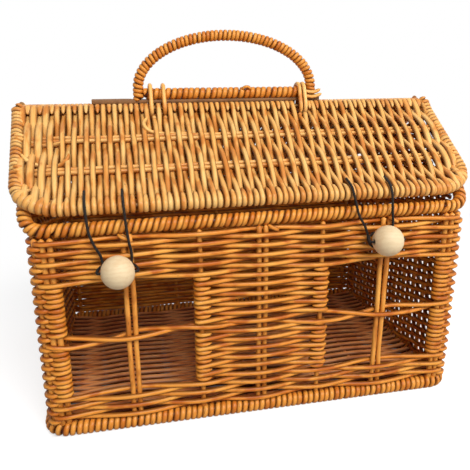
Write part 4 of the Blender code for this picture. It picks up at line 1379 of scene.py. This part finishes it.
@dataclass
class Handle:
    """The arched handle, the bar between its feet, the slat under it and the two lashings."""

    finishes: Finishes
    centre: float = -0.0070
    half_span: float = 0.0807
    rise: float = 0.0452
    spring: float = 0.2717
    foot: float = 0.2621
    arch_radius: float = 0.0049
    bar_radius: float = 0.0053
    bar_height: float = 0.2669
    slat_low: float = 0.2592
    slat_high: float = 0.2622
    slat_lean: float = 0.08
    slat_half_width: float = 0.0034
    slat_back: float = 0.0006
    slat_reach: tuple[float, float] = (-0.1287, 0.0824)
    lashing_radius: float = 0.0019
    lashing_starts: tuple[tuple[str, float, float], ...] = (
        ("left", -0.0772, 0.0115), ("right", 0.0610, 0.0046))

    def arch_path(self) -> np.ndarray:
        """Trace the arch: half an ellipse that stands on two short straight feet."""
        turn = np.linspace(math.pi, 0, 60)
        arch = np.column_stack([self.centre + self.half_span * np.cos(turn), np.zeros(60),
                                self.spring + self.rise * np.sin(turn)])
        feet = np.array([(self.centre - self.half_span, 0, self.foot),
                         (self.centre + self.half_span, 0, self.foot)])
        return np.concatenate([feet[:1], arch, feet[1:]])

    def wrapped(self) -> None:
        """Wrap the arch and the bar."""
        borders = Borders(self.finishes, strand=0.0014)
        arch = Bundle(70)
        borders.wrapped(arch, self.arch_path(), self.arch_radius, (0, -1, 0), Hand.LEFT, 0.0039)
        arch.piece("handle_arch_wrap", Body.BASKET, Slot.BORDER, ["handle_arch"],
                   self.finishes.border)
        bar = Bundle(71)
        reach = self.half_span - self.arch_radius - 0.0003
        line = np.array([(self.centre - reach, 0, self.bar_height),
                         (self.centre + reach, 0, self.bar_height)])
        borders.wrapped(bar, line, self.bar_radius, (0, -1, 0), Hand.LEFT, 0.0052)
        turn = np.linspace(0, 2 * math.pi, 26)
        loop = np.column_stack([0.0105 + 0.0032 * np.cos(turn), -0.0040 - 0.0020 * np.sin(turn),
                                self.bar_height + 0.0035 + 0.0020 * np.sin(turn)])
        bar.add(loop[:20], np.array((0.0, -1.0, 0.3)), 0.0014, 0.0011)
        bar.piece("handle_bar_wrap", Body.BASKET, Slot.BORDER, ["handle_bar"],
                  self.finishes.border)

    def slat(self) -> None:
        """Cut the slat with softened edges, as a rounded oblong swept along the ridge."""
        count, corner = 40, 0.0006
        low, high = self.slat_reach
        x = np.concatenate([[low, low + corner], np.linspace(low + 0.002, high - 0.002, count),
                            [high - corner, high]])
        shrink = np.ones(len(x))
        shrink[[0, -1]] = 0.90
        turn = 2 * math.pi * (np.arange(16) + 0.5) / 16
        half = (self.slat_high - self.slat_low) / 2
        across = np.sign(np.cos(turn)) * np.abs(np.cos(turn)) ** 0.30 * self.slat_half_width
        above = np.sign(np.sin(turn)) * np.abs(np.sin(turn)) ** 0.30 * half
        middle = (self.slat_low + self.slat_high) / 2
        lean = self.slat_lean * across
        beyond = np.abs(x - self.centre) - self.half_span - self.arch_radius
        swell = 1 + 0.45 * smooth_step(beyond, 0.0, 0.003)
        grid = np.stack([np.broadcast_to(x[:, None], (len(x), 16)),
                         self.slat_back + across[None] * shrink[:, None],
                         middle + (above[None] * swell[:, None] + lean) * shrink[:, None]], -1)
        points = np.concatenate([grid.reshape(-1, 3), [(low, self.slat_back, middle),
                                                         (high, self.slat_back, middle)]])
        i, j = np.meshgrid(np.arange(len(x) - 1), np.arange(16), indexing="ij")
        after = (j + 1) % 16
        quads = np.stack([i * 16 + j, i * 16 + after, (i + 1) * 16 + after, (i + 1) * 16 + j], -1)
        j = np.arange(16)
        foot = (len(x) - 1) * 16
        start_fan = np.stack([np.full(16, len(points) - 2), (j + 1) % 16, j], -1)
        end_fan = np.stack([np.full(16, len(points) - 1), foot + j, foot + (j + 1) % 16], -1)
        mesh = bpy.data.meshes.new("slat_board")
        mesh.from_pydata(points.tolist(), [], quads.reshape(-1, 4).tolist() + start_fan.tolist()
                         + end_fan.tolist())
        mesh.polygons.foreach_set("use_smooth", np.ones(len(mesh.polygons), bool))
        mesh.set_sharp_from_angle(angle=math.radians(50))
        place("slat_board", mesh, Body.BASKET, Slot.SLAT, ["ridge_slat"], self.finishes.slat)

    def belt(self) -> np.ndarray:
        """Give one turn's (y, z) points: three arcs round the rear rod, the bar and the front rod."""
        room = 0.0003 + self.lashing_radius
        rod = 0.0050 + room
        bar = self.bar_radius + room
        offset, ridge = ROOF.ridge_offset, ROOF.ridge_height
        rise = self.bar_height - ridge
        lean = math.atan2(offset, rise) - math.asin((rod - bar) / math.hypot(offset, rise))
        parts = []
        for y, z, radius, start, sweep_by, count in (
                (offset, ridge, rod, -math.pi / 2, math.pi / 2 + lean, 9),
                (0.0, self.bar_height, bar, lean, math.pi - 2 * lean, 15),
                (-offset, ridge, rod, math.pi - lean, math.pi / 2 + lean, 9)):
            angle = start + sweep_by * np.linspace(0, 1, count)
            parts.append(np.column_stack([y + radius * np.cos(angle), z + radius * np.sin(angle)]))
        return np.concatenate(parts)

    def lashing(self, word: str, start: float, pitch: float, seed: int) -> None:
        """Wind a lashing's turns, one strand that steps along where it passes under the rods."""
        bundle = Bundle(seed)
        belt = self.belt()
        turns = [np.column_stack([np.full(len(belt), start + pitch * turn), belt])
                 for turn in range(2)]
        path = even(np.concatenate(turns), 0.0012)
        centre = np.array((0.0, 0.0, 0.2600))
        outs = unit((path - centre) * np.array((0, 1, 1)))
        bundle.add(path, outs, self.lashing_radius * end_taper(len(path)),
                   self.lashing_radius * end_taper(len(path)), sides=10, edge_shade=0.3)
        if word == "right":
            for lift, reach in ((0.0, 0.0195), (0.0042, 0.0180)):
                tail = np.array([(start + pitch, -0.0060, 0.2640 + lift),
                                 (start + pitch + 0.006, -0.0066, 0.2628 + lift),
                                 (start + pitch + 0.012, -0.0052, 0.2632 + lift),
                                 (start + reach + 0.003, -0.0042, 0.2650 + lift)])
                tail = even(spline(tail), 0.0010)
                bundle.add(tail, np.array((0.0, -1.0, 0.2)), 0.0018 * end_taper(len(tail)), 0.0015)
        bundle.piece(f"{word}_lashing_strand", Body.BASKET, Slot.BORDER, [f"{word}_lashing"],
                     self.finishes.roof)

    def build(self) -> None:
        """Build the handle and bind it."""
        self.wrapped()
        self.slat()
        for seed, (word, start, pitch) in enumerate(self.lashing_starts, 72):
            self.lashing(word, start, pitch, seed)


@dataclass
class Closure:
    """One closure: a cord loop on the lid, and a wooden bead that hangs on its own short tie."""

    finishes: Finishes
    word: str
    body: Body
    bead_at: tuple[float, float]
    loop_route: tuple[Point, ...]
    seed: int
    cord_radius: float = 0.0009
    bead_radius: float = 0.0125
    bore_radius: float = 0.0022
    wall_face: float = -0.1125
    standoff: float = 0.0149
    twist: float = 0.0052
    tie_half: tuple[Point, ...] = (
        (.0050, .0009, .0030), (.0060, .0024, .0030), (.0095, .0045, .0027),
        (.0126, .0072, .0020), (.0145, .0106, .0010), (.0149, .0134, .0003),
        (.0139, .0149, .0000), (.0110, .0149, .0000), (.0060, .0149, .0000),
        (.0000, .0149, .0000))

    def twisted_cord(self, name: str, route: np.ndarray, body: Body, node: str) -> None:
        """Lay three threads round a route: each a helix a third of a turn after the last.

        Args:
            name: the cord's name.
            route: the points that it passes.
            body: what it moves with.
            node: the node that it stands for.
        """
        path = even(spline(route), 0.0007)
        travelled = lengths(path)
        run = unit(np.gradient(path, axis=0))
        start = unit(np.cross(run, np.array((0.31, 0.17, 0.93))))
        side = np.cross(run, start)
        bundle = Bundle(self.seed)
        for thread in range(3):
            angle = 2 * math.pi * (travelled / self.twist + thread / 3)
            out = np.cos(angle)[:, None] * start + np.sin(angle)[:, None] * side
            bundle.add(path + out * self.cord_radius * 0.50, out, self.cord_radius * 0.76,
                       self.cord_radius * 0.76, sides=7, edge_shade=0.5)
        cord = bundle.piece(name, body, Slot.CORD, [node], self.finishes.cord)

    def bead(self) -> bpy.types.Object:
        """Turn the bead: a circle's arc closed by its bore's line, spun round X."""
        rim = math.asin(self.bore_radius / self.bead_radius)
        arc = np.linspace(rim + 0.05, math.pi - rim - 0.05, 44)
        ball = np.column_stack([np.cos(arc), np.sin(arc)]) * self.bead_radius
        depth = self.bead_radius * math.cos(rim)
        inner = np.linspace(-depth + 0.0009, depth - 0.0009, 8)
        bore = np.column_stack([inner, np.full(8, self.bore_radius)])
        lip = np.array([(-depth + 0.0001, self.bore_radius + 0.00022)])
        profile = np.concatenate([ball, lip, bore, lip * np.array((-1, 1))])
        turn = np.linspace(0, 2 * math.pi, 64, endpoint=False)
        count, around = len(profile), len(turn)
        x, z = self.bead_at
        grid = np.stack([np.broadcast_to(profile[:, :1], (count, around)) + x,
                         profile[:, 1:] * np.cos(turn) + self.wall_face - self.standoff,
                         profile[:, 1:] * np.sin(turn) + z], -1)
        i, j = np.meshgrid(np.arange(count), np.arange(around), indexing="ij")
        quads = np.stack([i * around + j, (i + 1) % count * around + j,
                          (i + 1) % count * around + (j + 1) % around,
                          i * around + (j + 1) % around], -1)
        mesh = bpy.data.meshes.new(f"{self.word}_bead_wood")
        mesh.from_pydata(grid.reshape(-1, 3).tolist(), [], quads.reshape(-1, 4).tolist())
        mesh.polygons.foreach_set("use_smooth", np.ones(len(mesh.polygons), bool))
        return place(f"{self.word}_bead_wood", mesh, self.body, Slot.BEAD,
                     [f"{self.word}_bead"], self.finishes.bead)

    def build(self) -> None:
        """Build the loop, the bead and its tie."""
        self.twisted_cord(f"{self.word}_loop_cord", np.array(self.loop_route), Body.LID,
                          f"{self.word}_closure_loop")
        bead = self.bead()
        x, z = self.bead_at
        half = np.array(self.tie_half)
        right = np.column_stack([x + half[:, 0], self.wall_face - half[:, 1], z + half[:, 2]])
        left = right * np.array((-1, 1, 1)) + np.array((2 * x, 0, 0))
        self.twisted_cord(f"{self.word}_tie_cord", np.concatenate([left, right[-2::-1]]),
                          self.body, f"{self.word}_bead_tie")


LEFT_LOOP = (
    (-.1352, -.0990, .2022), (-.1352, -.1050, .2001), (-.1351, -.1101, .1973),
    (-.1350, -.1133, .1915), (-.1346, -.1136, .1840), (-.1337, -.1136, .1740),
    (-.1305, -.1137, .1640), (-.1266, -.1138, .1560), (-.1252, -.1138, .1490),
    (-.1232, -.1138, .1430), (-.1190, -.1138, .1390), (-.1140, -.1138, .1378),
    (-.1094, -.1138, .1394), (-.1059, -.1138, .1430), (-.1042, -.1138, .1490),
    (-.1037, -.1138, .1560), (-.1050, -.1137, .1640), (-.1062, -.1136, .1740),
    (-.1069, -.1136, .1840), (-.1073, -.1133, .1915), (-.1075, -.1101, .1973),
    (-.1076, -.1050, .2001), (-.1076, -.0990, .2022))
RIGHT_LOOP = (
    (.0722, -.0990, .2022), (.0724, -.1050, .2001), (.0727, -.1101, .1973),
    (.0736, -.1133, .1915), (.0757, -.1136, .1840), (.0790, -.1136, .1740),
    (.0838, -.1137, .1660), (.0868, -.1138, .1590), (.0881, -.1138, .1530),
    (.0902, -.1138, .1487), (.0944, -.1138, .1461), (.0990, -.1138, .1455),
    (.1034, -.1138, .1468), (.1070, -.1138, .1500), (.1090, -.1138, .1550),
    (.1094, -.1138, .1610), (.1091, -.1137, .1680), (.1084, -.1136, .1740),
    (.1074, -.1136, .1840), (.1066, -.1133, .1915), (.1062, -.1101, .1973),
    (.1060, -.1050, .2001), (.1060, -.0990, .2022))


# Photographer's side: camera, light and floor

@dataclass
class Studio:
    """The camera at the photograph's angle, soft lamps and a pale floor."""

    place: Point = (-0.1071, -0.5042, 0.2889)
    yaw: float = 0.2094
    pitch: float = 0.3011
    roll: float = -0.0050
    focal_share: float = 538.1 / 470
    sensor: float = 36.0
    floor_reach: float = 6.0
    sky: float = 0.28
    key_power: float = 23.0
    fill_power: float = 7.5

    def camera(self) -> None:
        """Stand the camera where the photograph was taken from."""
        data = bpy.data.cameras.new("camera")
        data.sensor_width = self.sensor
        data.lens = self.focal_share * self.sensor
        data.clip_start = 0.01
        data.clip_end = 100.0
        ahead = Vector((math.sin(self.yaw) * math.cos(self.pitch),
                        math.cos(self.yaw) * math.cos(self.pitch), -math.sin(self.pitch)))
        level = Vector((math.cos(self.yaw), -math.sin(self.yaw), 0))
        up = level.cross(ahead)
        right = math.cos(self.roll) * level + math.sin(self.roll) * up
        top = math.cos(self.roll) * up - math.sin(self.roll) * level
        camera = bpy.data.objects.new("camera", data)
        bpy.context.collection.objects.link(camera)
        turn = Matrix((right, top, -ahead)).transposed().to_4x4()
        camera.matrix_world = Matrix.Translation(self.place) @ turn
        bpy.context.scene.camera = camera

    def lamp(self, name: str, place_at: Point, aim: Point, size: float, power: float) -> None:
        """Hang a square soft lamp that looks at a point."""
        data = bpy.data.lights.new(name, "AREA")
        data.size = size
        data.energy = power
        lamp = bpy.data.objects.new(name, data)
        bpy.context.collection.objects.link(lamp)
        lamp.location = place_at
        lamp.rotation_euler = (Vector(aim) - Vector(place_at)).to_track_quat("-Z", "Y").to_euler()

    def sky_light(self) -> None:
        """Light the world evenly, and let the camera, glass and gloss see plain white."""
        world = bpy.data.worlds.new("studio")
        bpy.context.scene.world = world
        world.use_nodes = True
        tree = Tree(world.node_tree)
        background = world.node_tree.nodes["Background"]
        rays = tree.node("ShaderNodeLightPath")
        seen = tree.sum("MAXIMUM", rays.outputs["Is Camera Ray"], rays.outputs["Is Glossy Ray"])
        seen = tree.sum("MAXIMUM", seen, rays.outputs["Is Transmission Ray"])
        strength = tree.sum("ADD", tree.sum("MULTIPLY", seen, 1.0 - self.sky), self.sky)
        background.inputs["Color"].default_value = (1, 1, 1, 1)
        tree.join(strength, background.inputs["Strength"])

    def floor(self) -> None:
        """Lay a pale floor that turns to plain white away from the basket and keeps its shadow."""
        reach = self.floor_reach
        mesh = bpy.data.meshes.new("studio_floor")
        mesh.from_pydata([(-reach, -reach, 0), (reach, -reach, 0), (reach, reach, 0),
                          (-reach, reach, 0)], [], [(0, 1, 2, 3)])
        material, tree = new_material("studio_floor")
        nodes = material.node_tree.nodes
        nodes.remove(nodes["Principled BSDF"])
        rays = tree.node("ShaderNodeLightPath")
        where = tree.node("ShaderNodeTexCoord")
        far = tree.node("ShaderNodeVectorMath", operation="LENGTH")
        tree.join(where.outputs["Object"], far.inputs[0])
        away = tree.span(far.outputs["Value"], 0.30, 0.75)
        diffuse = tree.node("ShaderNodeBsdfDiffuse")
        diffuse.inputs["Color"].default_value = (0.50, 0.50, 0.50, 1)
        glow = tree.node("ShaderNodeEmission")
        near = tree.node("ShaderNodeAddShader")
        lift = tree.node("ShaderNodeEmission")
        seen = tree.sum("MAXIMUM", rays.outputs["Is Camera Ray"], rays.outputs["Is Glossy Ray"])
        # Painted shadow: the floor's camera-only glow drops from 0.70 away from the basket to 0.05 round
        # its foot, so the floor is darker there.
        parts = tree.node("ShaderNodeSeparateXYZ")
        tree.join(where.outputs["Object"], parts.inputs[0])
        along, across = (tree.sum("DIVIDE", tree.sum("ABSOLUTE", parts.outputs[word]), half)
                         for word, half in (("X", 0.180), ("Y", 0.110)))
        outside = tree.span(tree.sum("MAXIMUM", along, across), 0.90, 1.02, 0.05, 0.70)
        tree.join(tree.sum("MULTIPLY", rays.outputs["Is Camera Ray"], outside),
                  lift.inputs["Strength"])
        tree.join(diffuse.outputs[0], near.inputs[0])
        tree.join(lift.outputs[0], near.inputs[1])
        mixed = tree.node("ShaderNodeMixShader")
        tree.join(tree.sum("MULTIPLY", away, seen), mixed.inputs[0])
        tree.join(near.outputs[0], mixed.inputs[1])
        tree.join(glow.outputs[0], mixed.inputs[2])
        tree.join(mixed.outputs[0], nodes["Material Output"].inputs["Surface"])
        mesh.materials.append(material)
        floor = bpy.data.objects.new("studio_floor", mesh)
        bpy.context.collection.objects.link(floor)

    def build(self) -> None:
        """Set up the whole studio."""
        self.camera()
        self.sky_light()
        self.floor()
        self.lamp("key_lamp", (0.15, -1.20, 1.35), (0.0, -0.05, 0.13), 0.8, self.key_power)
        self.lamp("fill_lamp", (1.10, -0.80, 0.80), (0.05, 0.0, 0.13), 1.1, self.fill_power)
        bpy.context.scene.view_settings.view_transform = "Standard"


def main() -> None:
    """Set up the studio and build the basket's pieces in order."""
    logging.basicConfig(level=logging.INFO, format="%(name)s: %(message)s")
    Studio().build()
    finishes = Finishes.make()
    Closure(finishes, "left", Body.LEFT_BEAD, (-0.1146, 0.1467), LEFT_LOOP, 80).build()
    Closure(finishes, "right", Body.RIGHT_BEAD, (0.0987, 0.1556), RIGHT_LOOP, 81).build()
    Walls(finishes).build()
    Borders(finishes).build()
    Slope(finishes, "rear_roof", 1, Body.BASKET, 60, strands=105, spacing=0.00352,
          top_spacing=0.00358, half_width=0.0027, over_rods=0.0034).build()
    Slope(finishes, "lid", -1, Body.LID, 64).build()
    Handle(finishes).build()


if __name__ == "__main__":
    main()
